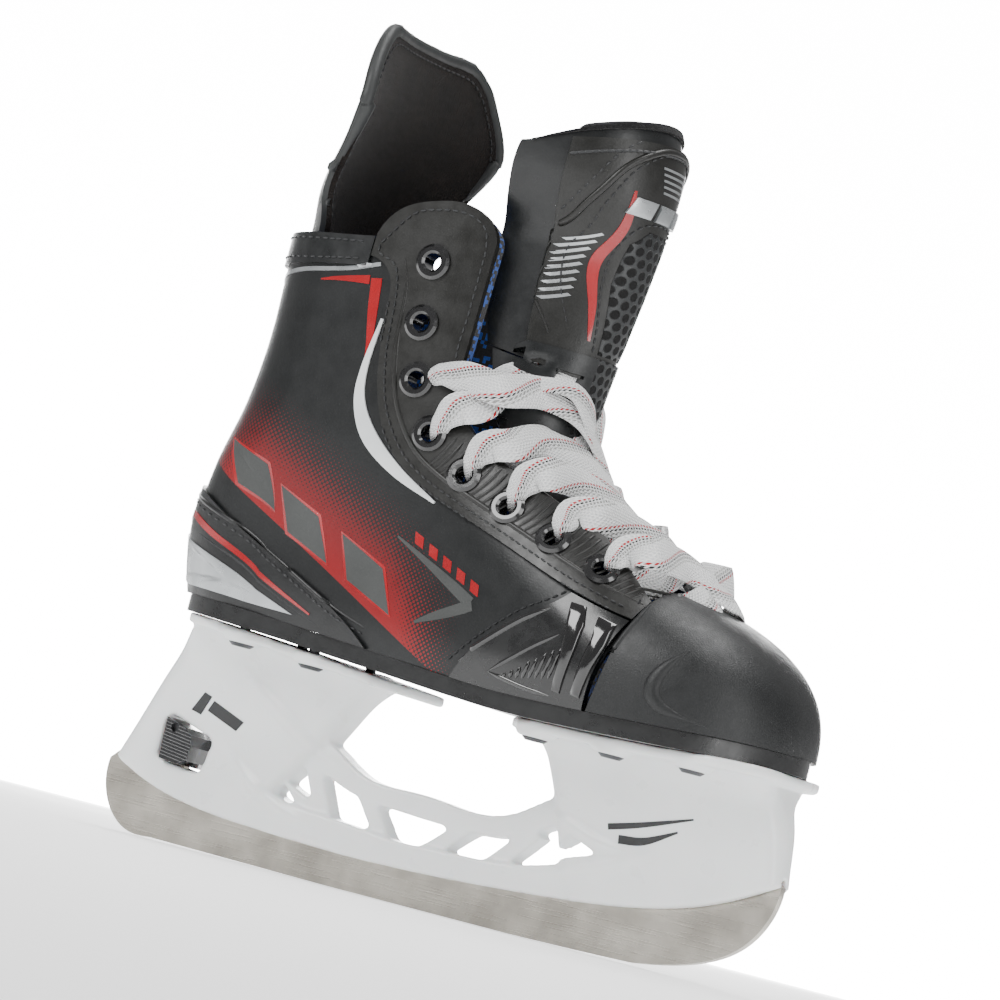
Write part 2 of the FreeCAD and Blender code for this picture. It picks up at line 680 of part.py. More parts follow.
def guard_point(share, z, off):
    """Point on the tendon guard: share from -1 at its outer edge to 1 at its inner edge."""
    half = smooth_table(guard_halves, z)
    lean = 2 * smooth_table(guard_depths, z) * share / half
    x = smooth_table(guard_back, z) + smooth_table(guard_depths, z) * share ** 2
    inwards = off / math.sqrt(1 + lean ** 2)
    return Vector(x + inwards, half * share - lean * inwards, z)


def guard_sheet(outer, inner):
    shares = steps(-1, 1, 25)
    grids = [[[guard_point(s, z, off) for z in steps(guard_foot, guard_top, 17)] for s in shares] for off in (outer, inner)]
    return thick_sheet(grids[0], grids[1])


# ---- eyelets and lace ---------------------------------------------------------------------
def eyelet(x, z, side):
    point, out = skin_place(x, z, side)
    flange_at = overlay_thick + 0.4 + seam_gap
    profile = [(eyelet_hole, -4.5), (eyelet_barrel, -4.5), (eyelet_barrel, flange_at), (eyelet_flange, flange_at),
               (eyelet_flange, flange_at + 0.5), (eyelet_flange - 0.9, flange_at + 1.2), (eyelet_hole + 0.7, flange_at + 1.2),
               (eyelet_hole, flange_at + 0.6)]
    ring = Part.Face(Part.makePolygon([Vector(r, 0, h) for r, h in profile + profile[:1]]))
    ring = ring.revolve(Vector(0, 0, 0), Vector(0, 0, 1), 360)
    ring.Placement = FreeCAD.Placement(point, FreeCAD.Rotation(Vector(0, 0, 1), out))
    return ring


def eyelets(side):
    return Part.makeCompound([eyelet(x, z, side) for x, z in eyelet_places])


def lace_run(start, end, side, lift):
    """Flat lace from an eyelet, over its edge of the throat and the tongue, to just inside the other edge."""
    at_near, at_far = tongue_share(start[1] + lace_rise), tongue_share(end[1] + lace_rise)
    place, out = skin_place(start[0], start[1], side)
    edge, edge_out = skin_place(start[0] + 4.5, start[1] + 3.5, side)
    angles = [-55, -25, 0, 25, 55]
    lifts = [lift + 3.4, lift + 1.2, lift, lift + 0.8, lift + 0.4]
    points, normals, along = [place + out * 5.2, edge + edge_out * 5.4], [out, edge_out], []
    for k in range(len(angles)):
        share = at_near + (at_far - at_near) * (k + 1) / (len(angles) + 1)
        angle = -side * math.radians(angles[k])
        outer = tongue_point(share, angle, -lifts[k])
        inner = tongue_point(share, angle, 1 - lifts[k])
        points.append(outer)
        normals.append((outer - inner).normalize())
    upper, under = [], []
    for k in range(len(points)):
        step = points[min(k + 1, len(points) - 1)] - points[max(k - 1, 0)]
        across = step.cross(normals[k]).normalize() * (lace_width / 2 * (0.55 if k == 0 else 1))
        rise = normals[k] * (lace_thick / 2)
        upper.append([points[k] - across + rise, points[k] + rise, points[k] + across + rise])
        under.append([points[k] - across - rise, points[k] - rise, points[k] + across - rise])
    return thick_sheet(upper, under)


def lace_rows(side, lift):
    laced = eyelet_places[2:]
    runs = []
    for k in range(1, len(laced)):
        runs.append(lace_run(laced[k], laced[k - 1], side, lift))
    return Part.makeCompound(runs)


# ---- the assembly -------------------------------------------------------------------------
def nodes():
    yield "outsole", outsole
    yield "insole_board", insole_board
    yield "footbed", footbed
    yield "quarter_lateral", lambda: quarter(-1)
    yield "quarter_medial", lambda: quarter(1)
    yield "liner_lateral", lambda: liner(-1)
    yield "liner_medial", lambda: liner(1)
    yield "facing_lateral", lambda: facing(-1)
    yield "facing_medial", lambda: facing(1)
    yield "collar_band", collar_band
    yield "heel_counter", heel_counter
    yield "side_wrap_lateral", lambda: side_wrap(-1)
    yield "side_wrap_medial", lambda: side_wrap(1)
    yield "toe_cap", toe_cap
    yield "eyelets_lateral", lambda: eyelets(-1)
    yield "eyelets_medial", lambda: eyelets(1)
    yield "tongue_lower", tongue_lower
    for name in ("tongue_foam", "tongue_shield", "tongue_lining", "tongue_binding"):
        yield name, lambda name=name: tongue_upper(name)
    yield "tendon_guard_shell", lambda: guard_sheet(0, guard_thick / 2)
    yield "tendon_guard_felt", lambda: guard_sheet(guard_thick / 2 + seam_gap, guard_thick)
    yield "lace", lambda: lace_rows(-1, lace_lift)
    yield "blade_holder", blade_holder
    yield "heel_rivets", lambda: rivets(heel_rivet_places)
    yield "toe_rivets", lambda: rivets(toe_rivet_places)
    yield "runner", runner
    yield "blade_trigger", blade_trigger
    yield "trigger_pin", trigger_pin


def main():
    os.makedirs("parts", exist_ok=True)
    for name, make in nodes():
        shape = make()
        shape.exportStep("parts/" + name + ".step")
        print(name, len(shape.Solids), "solids", round(shape.Volume / 1000, 2), "cm3", shape.isValid())


main()
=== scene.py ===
import math

import bmesh
import bpy
from mathutils import Matrix, Vector
from mathutils.bvhtree import BVHTree


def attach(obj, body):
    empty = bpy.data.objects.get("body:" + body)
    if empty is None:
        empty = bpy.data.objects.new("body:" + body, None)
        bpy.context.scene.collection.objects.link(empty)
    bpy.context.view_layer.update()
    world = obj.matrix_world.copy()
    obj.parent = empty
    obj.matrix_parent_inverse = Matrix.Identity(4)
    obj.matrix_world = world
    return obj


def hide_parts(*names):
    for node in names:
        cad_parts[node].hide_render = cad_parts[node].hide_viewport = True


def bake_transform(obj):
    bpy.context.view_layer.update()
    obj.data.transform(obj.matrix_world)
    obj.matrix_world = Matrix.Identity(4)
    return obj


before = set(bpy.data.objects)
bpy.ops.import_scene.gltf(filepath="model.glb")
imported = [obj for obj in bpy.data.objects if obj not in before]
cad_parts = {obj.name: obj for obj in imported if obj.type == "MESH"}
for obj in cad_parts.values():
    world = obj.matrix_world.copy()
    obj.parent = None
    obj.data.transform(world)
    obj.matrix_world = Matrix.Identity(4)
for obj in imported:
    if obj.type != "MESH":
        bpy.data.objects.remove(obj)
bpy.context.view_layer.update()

mm = 0.001
lateral, medial = -1, 1
print("packed model loaded")


# camera, at the viewing angle of a product shot: low, from the toe's outer side, the skate tipped forward
shot = {"turn": 28.0, "rise": -3.5, "roll": 14.6, "distance": 1.8, "aim": (-0.007, 0.0, 0.1195),
        "sensor": 36.0, "fieldWidth": 0.287}          # fieldWidth: metres across the picture at the skate


def addCamera():
    turn, rise, roll = (math.radians(shot[key]) for key in ("turn", "rise", "roll"))
    back = Vector((math.sin(turn) * math.cos(rise), -math.cos(turn) * math.cos(rise), math.sin(rise)))
    right = Vector((math.cos(turn), math.sin(turn), 0))
    up = back.cross(right)
    across = right * math.cos(roll) + up * math.sin(roll)
    above = up * math.cos(roll) - right * math.sin(roll)
    bpy.ops.object.camera_add()
    camera = bpy.context.object
    turned = Matrix((across, above, back)).transposed().to_4x4()
    camera.matrix_world = Matrix.Translation(Vector(shot["aim"]) + back * shot["distance"]) @ turned
    camera.data.sensor_width = shot["sensor"]
    camera.data.lens = shot["sensor"] * shot["distance"] / shot["fieldWidth"]
    camera.data.clip_end = 20
    bpy.context.scene.camera = camera


studio = {"world": 0.42, "floor": 0.5, "backdrop": 14.0, "key": 30.0, "fill": 12.0, "top": 22.0, "rim": 16.0}


def addLight(name, place, aim, size, power):
    bpy.ops.object.light_add(type="AREA", location=place)
    lamp = bpy.context.object
    lamp.name = name
    lamp.data.shape = "RECTANGLE"
    lamp.data.size, lamp.data.size_y = size
    lamp.data.energy = power
    lamp.rotation_euler = (Vector(place) - Vector(aim)).to_track_quat("Z", "Y").to_euler()


def addStudio():
    world = bpy.data.worlds.new("paleStudio")
    bpy.context.scene.world = world
    world.use_nodes = True
    backdrop = world.node_tree.nodes["Background"]
    backdrop.inputs["Color"].default_value = (1, 1, 1, 1)
    backdrop.inputs["Strength"].default_value = studio["world"]
    middle = (0, 0, 0.12)
    addLight("keySoftbox", (-0.7, -1.5, 1.3), middle, (1.0, 0.9), studio["key"])
    addLight("fillSoftbox", (1.5, -0.7, 0.5), middle, (0.5, 1.4), studio["fill"])
    addLight("topSoftbox", (0.2, 0.2, 1.6), middle, (1.4, 0.6), studio["top"])
    addLight("rimSoftbox", (-1.2, 1.2, 0.8), middle, (0.8, 1.0), studio["rim"])


def plainMaterial(name, brightness):
    material = bpy.data.materials.new(name)
    material.use_nodes = True
    surface = material.node_tree.nodes["Principled BSDF"]
    surface.inputs["Base Color"].default_value = (0.93, 0.93, 0.93, 1)
    surface.inputs["Roughness"].default_value = 0.8
    surface.inputs["Emission Color"].default_value = (1, 1, 1, 1)
    surface.inputs["Emission Strength"].default_value = brightness
    return material


def addFloor():
    bpy.ops.mesh.primitive_plane_add(size=8)
    floor = bpy.context.object
    floor.name = "paleFloor"
    floor.data.materials.append(plainMaterial("palePaper", studio["floor"]))     # matte white paper
    view = bpy.context.scene.camera.matrix_world
    behind = Vector(shot["aim"]) - view.col[2].to_3d() * 3.0
    bpy.ops.mesh.primitive_plane_add(size=1.7, location=behind, rotation=view.to_euler())
    backdrop = bpy.context.object
    backdrop.name = "litBackdrop"
    backdrop.data.materials.append(plainMaterial("litPaper", studio["backdrop"]))     # paper lit from behind


addCamera()
addStudio()
addFloor()
print("camera and studio placed")


# materials
softNoise = {"Detail": 3.0, "Roughness": 0.55}
middling = {"From Min": 0.3, "From Max": 0.7}          # where most of a noise's values lie
colourMix = {"data_type": "RGBA"}
firstColour, secondColour, mixedColour = 6, 7, 2       # the colour sockets of a Mix node


def hexColour(text):
    parts = [int(text[k:k + 2], 16) / 255 for k in (1, 3, 5)]
    return tuple(p / 12.92 if p <= 0.04045 else ((p + 0.055) / 1.055) ** 2.4 for p in parts) + (1.0,)


def setNode(tree, node, settings):
    # choices and input values: a node or a socket among them is linked, and a hex colour is made linear
    for key, value in settings.items():
        if isinstance(value, str) and value.startswith("#"):
            value = hexColour(value)
        if isinstance(value, bpy.types.Node):
            value = value.outputs[0]
        if isinstance(value, bpy.types.NodeSocket):
            tree.links.new(value, node.inputs[key])
        elif isinstance(key, str) and hasattr(node, key):
            setattr(node, key, value)
        else:
            node.inputs[key].default_value = value
    return node


def addNode(tree, kind, settings):
    return setNode(tree, tree.nodes.new("ShaderNode" + kind), settings)


def newMaterial(name, colour, roughness, settings=None):
    material = bpy.data.materials.new(name)
    material.use_nodes = True
    tree = material.node_tree
    surface = tree.nodes["Principled BSDF"]
    setNode(tree, surface, {"Base Color": colour, "Roughness": roughness, **(settings or {})})
    material.diffuse_color = hexColour(colour)
    place = addNode(tree, "TexCoord", {}).outputs["Object"]
    return material, tree, surface, place


def grainMaterial(name, colour, darker, roughness, grain, depth, settings=None, wear=0.08):
    # one moulded or coated finish: slow tone drift, fine grain and small changes of gloss
    material, tree, surface, place = newMaterial(name, colour, roughness, settings)
    drift = addNode(tree, "TexNoise", {**softNoise, "Vector": place, "Scale": 1 / (22 * mm)})
    patches = addNode(tree, "TexNoise", {**softNoise, "Vector": place, "Scale": 1 / (5 * mm)})
    fine = addNode(tree, "TexNoise", {**softNoise, "Vector": place, "Scale": 1 / (grain * mm),
                                      "Detail": 4.0})
    share = addNode(tree, "MapRange", {**middling, "Value": drift})
    tone = addNode(tree, "Mix", {**colourMix, "Factor": share, firstColour: colour, secondColour: darker})
    gloss = addNode(tree, "MapRange", {**middling, "Value": patches, "To Min": max(roughness - wear, 0.02),
                                       "To Max": roughness + wear})
    bump = addNode(tree, "Bump", {"Height": fine, "Distance": depth * mm})
    setNode(tree, surface, {"Base Color": tone.outputs[mixedColour], "Roughness": gloss, "Normal": bump})
    return material


# the printed band: its lower edge is at height foot + slope * x, in metres; its raster is in millimetres
printedBand = {"slope": -0.50, "foot": 0.0665, "height": 0.036, "rear": (-0.088, -0.070),
               "front": (0.010, -0.022), "raster": 1.15, "turn": 38.0}


def rasterReach(tree, place):
    # distance from the middle of each cell of a turned square raster, in cells
    turn = (0, math.radians(printedBand["turn"]), 0)
    size = (1 / (printedBand["raster"] * mm),) * 3
    turned = addNode(tree, "Mapping", {"Vector": place, "Rotation": turn, "Scale": size})
    cell = addNode(tree, "SeparateXYZ", {"Vector": turned})
    squares = []
    for axis in ("X", "Z"):
        inside = addNode(tree, "Math", {"operation": "FRACT", 0: cell.outputs[axis]})
        middle = addNode(tree, "Math", {"operation": "SUBTRACT", 0: inside, 1: 0.5})
        squares.append(addNode(tree, "Math", {"operation": "MULTIPLY", 0: middle, 1: middle}))
    total = addNode(tree, "Math", {"operation": "ADD", 0: squares[0], 1: squares[1]})
    return addNode(tree, "Math", {"operation": "SQRT", 0: total})


def printedComposite():
    # thermoformed polyurethane-coated composite, satin: charcoal, with a red band of fading raster dots
    material, tree, surface, place = newMaterial("satinComposite", "#191b1c", 0.36,
                                                 {"Specular IOR Level": 0.4})
    split = addNode(tree, "SeparateXYZ", {"Vector": place})
    x, z = split.outputs["X"], split.outputs["Z"]
    edge = addNode(tree, "Math", {"operation": "MULTIPLY_ADD", 0: x, 1: printedBand["slope"],
                                  2: printedBand["foot"]})
    over = addNode(tree, "Math", {"operation": "SUBTRACT", 0: z, 1: edge})
    upwards = addNode(tree, "MapRange", {"Value": over, "From Min": 0.0, "From Max": printedBand["height"],
                                         "To Min": 1.0, "To Max": 0.0})
    rear = addNode(tree, "MapRange", {"Value": x, "From Min": printedBand["rear"][0],
                                      "From Max": printedBand["rear"][1], "To Min": 0.35})
    front = addNode(tree, "MapRange", {"Value": x, "From Min": printedBand["front"][0],
                                       "From Max": printedBand["front"][1]})
    ends = addNode(tree, "Math", {"operation": "MULTIPLY", 0: rear, 1: front})
    fade = addNode(tree, "Math", {"operation": "MULTIPLY", 0: upwards, 1: ends})
    size = addNode(tree, "MapRange", {"Value": fade, "From Min": 0.0, "From Max": 0.75, "To Max": 0.72})
    dot = addNode(tree, "Math", {"operation": "LESS_THAN", 0: rasterReach(tree, place), 1: size})
    above = addNode(tree, "Math", {"operation": "GREATER_THAN", 0: over, 1: 0.0})
    showing = addNode(tree, "Math", {"operation": "GREATER_THAN", 0: fade, 1: 0.02})
    inBand = addNode(tree, "Math", {"operation": "MULTIPLY", 0: above, 1: showing})
    printed = addNode(tree, "Math", {"operation": "MULTIPLY", 0: dot, 1: inBand})
    drift = addNode(tree, "TexNoise", {**softNoise, "Vector": place, "Scale": 1 / (25 * mm)})
    groundShare = addNode(tree, "MapRange", {**middling, "Value": drift})
    ground = addNode(tree, "Mix", {**colourMix, "Factor": groundShare, firstColour: "#121415",
                                   secondColour: "#0e1011"})
    redShare = addNode(tree, "MapRange", {"Value": over, "From Min": 0.0, "From Max": 0.030})
    red = addNode(tree, "Mix", {**colourMix, "Factor": redShare, firstColour: "#860a11",
                                secondColour: "#4a080b"})
    tone = addNode(tree, "Mix", {**colourMix, "Factor": printed, firstColour: ground.outputs[mixedColour],
                                 secondColour: red.outputs[mixedColour]})
    patches = addNode(tree, "TexNoise", {**softNoise, "Vector": place, "Scale": 1 / (6 * mm)})
    gloss = addNode(tree, "MapRange", {**middling, "Value": patches, "To Min": 0.33, "To Max": 0.43})
    fine = addNode(tree, "TexNoise", {**softNoise, "Vector": place, "Scale": 1 / (0.7 * mm), "Detail": 4.0})
    bump = addNode(tree, "Bump", {"Height": fine, "Distance": 0.05 * mm})
    setNode(tree, surface, {"Base Color": tone.outputs[mixedColour], "Roughness": gloss, "Normal": bump})
    return material


def brushedSteel():
    # stainless steel, ground lengthwise and polished: a warm grey with fine scratches along the blade
    settings = {"Metallic": 1.0, "Anisotropic": 0.5}
    material, tree, surface, place = newMaterial("groundSteel", "#b9b4aa", 0.3, settings)
    along = addNode(tree, "Mapping", {"Vector": place, "Scale": (0.02, 1.0, 1.0)})
    scratch = addNode(tree, "TexNoise", {**softNoise, "Vector": along, "Scale": 1 / (0.35 * mm),
                                         "Detail": 4.0})
    cloud = addNode(tree, "TexNoise", {**softNoise, "Vector": place, "Scale": 1 / (14 * mm)})
    share = addNode(tree, "MapRange", {"Value": cloud, "From Min": 0.35, "From Max": 0.65})
    tone = addNode(tree, "Mix", {**colourMix, "Factor": share, firstColour: "#c3beb4",
                                 secondColour: "#a39e95"})
    gloss = addNode(tree, "MapRange", {**middling, "Value": scratch, "To Min": 0.22, "To Max": 0.42})
    bump = addNode(tree, "Bump", {"Height": scratch, "Distance": 0.02 * mm})
    setNode(tree, surface, {"Base Color": tone.outputs[mixedColour], "Roughness": gloss, "Normal": bump})
    return material


def mouldedNylon():
    # glass-filled nylon, injection moulded and glossy: cool white with a little light inside it
    settings = {"Subsurface Weight": 0.12, "Subsurface Scale": 0.003, "Coat Weight": 0.25,
                "Coat Roughness": 0.2}
    material, tree, surface, place = newMaterial("mouldedNylon", "#eef0f0", 0.3, settings)
    drift = addNode(tree, "TexNoise", {**softNoise, "Vector": place, "Scale": 1 / (30 * mm)})
    share = addNode(tree, "MapRange", {**middling, "Value": drift})
    tone = addNode(tree, "Mix", {**colourMix, "Factor": share, firstColour: "#f2f4f4",
                                 secondColour: "#e7eaea"})
    patches = addNode(tree, "TexNoise", {**softNoise, "Vector": place, "Scale": 1 / (9 * mm)})
    gloss = addNode(tree, "MapRange", {**middling, "Value": patches, "To Min": 0.26, "To Max": 0.36})
    fine = addNode(tree, "TexNoise", {**softNoise, "Vector": place, "Scale": 1 / (1.2 * mm)})
    bump = addNode(tree, "Bump", {"Height": fine, "Distance": 0.02 * mm})
    setNode(tree, surface, {"Base Color": tone.outputs[mixedColour], "Roughness": gloss, "Normal": bump})
    return material


def feltMaterial(name, colour, lighter):
    # pressed and brushed polyester felt: dark, with a soft bright edge and short random fibres
    settings = {"Sheen Weight": 0.12, "Sheen Roughness": 0.5, "Specular IOR Level": 0.1}
    material, tree, surface, place = newMaterial(name, colour, 0.92, settings)
    fibre = addNode(tree, "TexNoise", {"Vector": place, "Scale": 1 / (0.5 * mm), "Detail": 5.0,
                                       "Roughness": 0.7})
    cloud = addNode(tree, "TexNoise", {**softNoise, "Vector": place, "Scale": 1 / (9 * mm)})
    patches = addNode(tree, "MapRange", {"Value": cloud, "From Min": 0.35, "From Max": 0.7})
    raised = addNode(tree, "MapRange", {"Value": fibre, "From Min": 0.42, "From Max": 0.7})
    amount = addNode(tree, "Math", {"operation": "ADD", 0: patches, 1: 0.4})
    speck = addNode(tree, "Math", {"operation": "MULTIPLY", 0: raised, 1: amount})
    tone = addNode(tree, "Mix", {**colourMix, "Factor": speck, firstColour: colour, secondColour: lighter})
    bump = addNode(tree, "Bump", {"Height": fibre, "Distance": 0.5 * mm})
    setNode(tree, surface, {"Base Color": tone.outputs[mixedColour], "Normal": bump})
    return material


def printedTricot():
    # brushed tricot, printed: small blue and black squares
    material, tree, surface, place = newMaterial("printedTricot", "#0c1020", 0.85, {"Sheen Weight": 0.3})
    squares = addNode(tree, "VectorMath", {"operation": "SNAP", 0: place, 1: (1.1 * mm,) * 3})
    pick = addNode(tree, "TexWhiteNoise", {"Vector": squares})
    cloud = addNode(tree, "TexNoise", {**softNoise, "Vector": squares, "Scale": 1 / (6 * mm)})
    mixed = addNode(tree, "Math", {"operation": "MULTIPLY_ADD", 0: pick, 1: 0.5, 2: cloud})
    blue = addNode(tree, "Math", {"operation": "GREATER_THAN", 0: mixed, 1: 0.78})
    tone = addNode(tree, "Mix", {**colourMix, "Factor": blue, firstColour: "#0b0c10",
                                 secondColour: "#1d4c9c"})
    nap = addNode(tree, "TexNoise", {**softNoise, "Vector": place, "Scale": 1 / (0.6 * mm)})
    bump = addNode(tree, "Bump", {"Height": nap, "Distance": 0.15 * mm})
    setNode(tree, surface, {"Base Color": tone.outputs[mixedColour], "Normal": bump})
    return material


# tracer threads of the braid: where each begins and ends across its slanting repeat, and its colour
tracers = ((0.05, 0.12, "#b00f1c"), (0.15, 0.215, "#202022"), (0.25, 0.33, "#8d8d8b"),
           (0.37, 0.43, "#a9a9a6"))


def wovenLace():
    # flat tubular polyester braid: white herringbone with slanting red, black and grey tracer threads, with
    # painted shade in the weave's grooves
    settings = {"Sheen Weight": 0.35, "Sheen Roughness": 0.5, "Specular IOR Level": 0.25}
    material, tree, surface, _ = newMaterial("braidedPolyester", "#eeeeec", 0.78, settings)
    split = addNode(tree, "SeparateXYZ", {"Vector": addNode(tree, "UVMap", {})})
    u, v = split.outputs["X"], split.outputs["Y"]              # u 0 to 1 across, v in centimetres along
    offset = addNode(tree, "Math", {"operation": "SUBTRACT", 0: u, 1: 0.5})
    side = addNode(tree, "Math", {"operation": "ABSOLUTE", 0: offset})
    sideShare = addNode(tree, "Math", {"operation": "MULTIPLY", 0: side, 1: 6.0})
    weave = addNode(tree, "Math", {"operation": "MULTIPLY_ADD", 0: v, 1: 9.0, 2: sideShare})
    angle = addNode(tree, "Math", {"operation": "MULTIPLY", 0: weave, 1: 2 * math.pi})
    ridge = addNode(tree, "Math", {"operation": "SINE", 0: angle})
    acrossAngle = addNode(tree, "Math", {"operation": "MULTIPLY", 0: u, 1: 2 * math.pi * 11})
    rows = addNode(tree, "Math", {"operation": "SINE", 0: acrossAngle})
    both = addNode(tree, "Math", {"operation": "ADD", 0: ridge, 1: rows})
    thread = addNode(tree, "Math", {"operation": "MULTIPLY", 0: both, 1: 0.5})
    climb = addNode(tree, "Math", {"operation": "MULTIPLY_ADD", 0: v, 1: 0.42, 2: u})
    slant = addNode(tree, "Math", {"operation": "FRACT", 0: climb})
    dash = addNode(tree, "Math", {"operation": "GREATER_THAN", 0: ridge, 1: -0.35})
    # painted shade and painted highlight: the white is darker in the weave's grooves and lighter on its
    # ridges, following the bump's relief
    share = addNode(tree, "MapRange", {"Value": thread, "From Min": -0.9, "From Max": 0.9})
    tone = addNode(tree, "Mix", {**colourMix, "Factor": share, firstColour: "#d3d4d6",
                                 secondColour: "#f6f6f4"})
    for low, high, colour in tracers:
        after = addNode(tree, "Math", {"operation": "GREATER_THAN", 0: slant, 1: low})
        before = addNode(tree, "Math", {"operation": "LESS_THAN", 0: slant, 1: high})
        inside = addNode(tree, "Math", {"operation": "MULTIPLY", 0: after, 1: before})
        shown = addNode(tree, "Math", {"operation": "MULTIPLY", 0: inside, 1: dash})
        tone = addNode(tree, "Mix", {**colourMix, "Factor": shown, firstColour: tone.outputs[mixedColour],
                                     secondColour: colour})
    bump = addNode(tree, "Bump", {"Height": thread, "Distance": 0.25 * mm})
    setNode(tree, surface, {"Base Color": tone.outputs[mixedColour], "Normal": bump})
    return material


hexagons = {"pitch": 3.3, "squash": 0.9, "hole": 0.30, "wall": 0.40}    # pitch in mm, the others in pitches


def holeMesh():
    # moulded rubber mesh: rows of small six-sided holes, painted near black as painted shade in their depth
    material, tree, surface, place = newMaterial("hexMesh", "#1a1b1c", 0.45)
    flat = addNode(tree, "Mapping", {"Vector": place, "Scale": (1.0, 1.0, hexagons["squash"])})
    split = addNode(tree, "SeparateXYZ", {"Vector": flat})
    reaches = []
    for shift in (0.0, 0.5):                       # two square lattices, one between the other's cells
        squares = []
        for axis, stretch in (("Y", 1.0), ("Z", math.sqrt(3))):
            size = hexagons["pitch"] * stretch * mm
            cells = addNode(tree, "Math", {"operation": "DIVIDE", 0: split.outputs[axis], 1: size})
            moved = addNode(tree, "Math", {"operation": "ADD", 0: cells, 1: 10.0 + shift})
            inside = addNode(tree, "Math", {"operation": "FRACT", 0: moved})
            middle = addNode(tree, "Math", {"operation": "SUBTRACT", 0: inside, 1: 0.5})
            reach = addNode(tree, "Math", {"operation": "MULTIPLY", 0: middle, 1: stretch})
            squares.append(addNode(tree, "Math", {"operation": "MULTIPLY", 0: reach, 1: reach}))
        total = addNode(tree, "Math", {"operation": "ADD", 0: squares[0], 1: squares[1]})
        reaches.append(addNode(tree, "Math", {"operation": "SQRT", 0: total}))
    nearest = addNode(tree, "Math", {"operation": "MINIMUM", 0: reaches[0], 1: reaches[1]})
    wall = addNode(tree, "MapRange", {"Value": nearest, "From Min": hexagons["hole"],
                                      "From Max": hexagons["wall"]})
    # painted shade: the holes are painted near black for the shade in their depth, and the walls keep the
    # rubber's dark grey
    tone = addNode(tree, "Mix", {**colourMix, "Factor": wall, firstColour: "#020202",
                                 secondColour: "#242627"})
    gloss = addNode(tree, "MapRange", {"Value": wall, "To Min": 0.9, "To Max": 0.38})
    bump = addNode(tree, "Bump", {"Height": wall, "Distance": 0.9 * mm})
    setNode(tree, surface, {"Base Color": tone.outputs[mixedColour], "Roughness": gloss, "Normal": bump})
    return material


finishes = {
    "composite": printedComposite(),
    # polyurethane-coated microfibre, satin: olive charcoal with a faint pebble
    "facing": grainMaterial("satinMicrofibre", "#191917", "#141412", 0.36, 0.6, 0.05),
    "counter": grainMaterial("coatedMicrofibre", "#151617", "#101112", 0.36, 0.8, 0.06),
    # patent polyurethane: near black, a clear deep gloss
    "patent": grainMaterial("patentPolyurethane", "#060607", "#09090a", 0.12, 3.0, 0.05,
                            {"Coat Weight": 1.0, "Coat Roughness": 0.04}, 0.03),
    # polyurethane-coated microfibre, gloss: black, softer reflections than the patent panels
    "glossSkin": grainMaterial("glossMicrofibre", "#08090a", "#0b0c0d", 0.26, 1.2, 0.03,
                               {"Coat Weight": 0.35, "Coat Roughness": 0.2}),
    # injection moulded polyurethane with a spark-eroded grain
    "toePlastic": grainMaterial("grainedPolyurethane", "#111314", "#0e1011", 0.44, 0.45, 0.12),
    # compression moulded glass composite, semi gloss
    "sole": grainMaterial("mouldedSole", "#0f1011", "#0b0c0d", 0.32, 0.9, 0.04,
                          {"Coat Weight": 0.3, "Coat Roughness": 0.25}),
    "nylon": mouldedNylon(),
    "steel": brushedSteel(),
    "rivet": grainMaterial("blackenedSteel", "#5d5e60", "#4c4d4f", 0.42, 0.5, 0.02, {"Metallic": 0.9}),
    "enamel": grainMaterial("blackEnamel", "#0d0d0e", "#121213", 0.18, 1.5, 0.03,
                            {"Coat Weight": 0.8, "Coat Roughness": 0.1}, 0.05),
    "trigger": grainMaterial("glossyAcetal", "#101113", "#16171a", 0.20, 1.0, 0.02,
                             {"Coat Weight": 0.5, "Coat Roughness": 0.12}, 0.05),
    "tongueSkin": grainMaterial("mouldedMicrofibre", "#181816", "#131311", 0.38, 0.7, 0.06),
    "smoothBand": grainMaterial("smoothMicrofibre", "#141617", "#101213", 0.34, 1.0, 0.03),
    "blackFelt": feltMaterial("blackFelt", "#0d0d0e", "#2b2b2d"),
    "brownFelt": feltMaterial("brushedFelt", "#080605", "#241b16"),
    "guard": grainMaterial("mouldedGuard", "#2a2c2c", "#222424", 0.5, 0.8, 0.08),
    "tricot": printedTricot(),
    "lace": wovenLace(),
    "mesh": holeMesh(),
    # bonded nylon thread, waxed
    "thread": grainMaterial("bondedThread", "#17181a", "#222426", 0.5, 0.4, 0.05),
    # screen prints: flexible gloss and metallic inks
    "redInk": grainMaterial("redGlossInk", "#a60d16", "#8c0b12", 0.22, 2.0, 0.02,
                            {"Coat Weight": 0.6, "Coat Roughness": 0.1}),
    "silverInk": grainMaterial("silverInk", "#b9bcbe", "#8f9395", 0.3, 0.5, 0.03, {"Metallic": 0.75}),
    "whiteInk": grainMaterial("whiteGlossInk", "#e9ecec", "#cfd3d4", 0.18, 2.0, 0.02,
                              {"Coat Weight": 0.6, "Coat Roughness": 0.08}),
    "greyInk": grainMaterial("greyMatteInk", "#3e403f", "#363837", 0.5, 0.6, 0.05),
    "blackInk": grainMaterial("blackInk", "#1d1e1f", "#262728", 0.4, 0.8, 0.02),
    "board": grainMaterial("pressedBoard", "#37373a", "#2d2d30", 0.8, 0.8, 0.1),
}
print("materials made")


def paint(piece, finish):
    piece.data.materials.clear()
    piece.data.materials.append(finishes[finish])


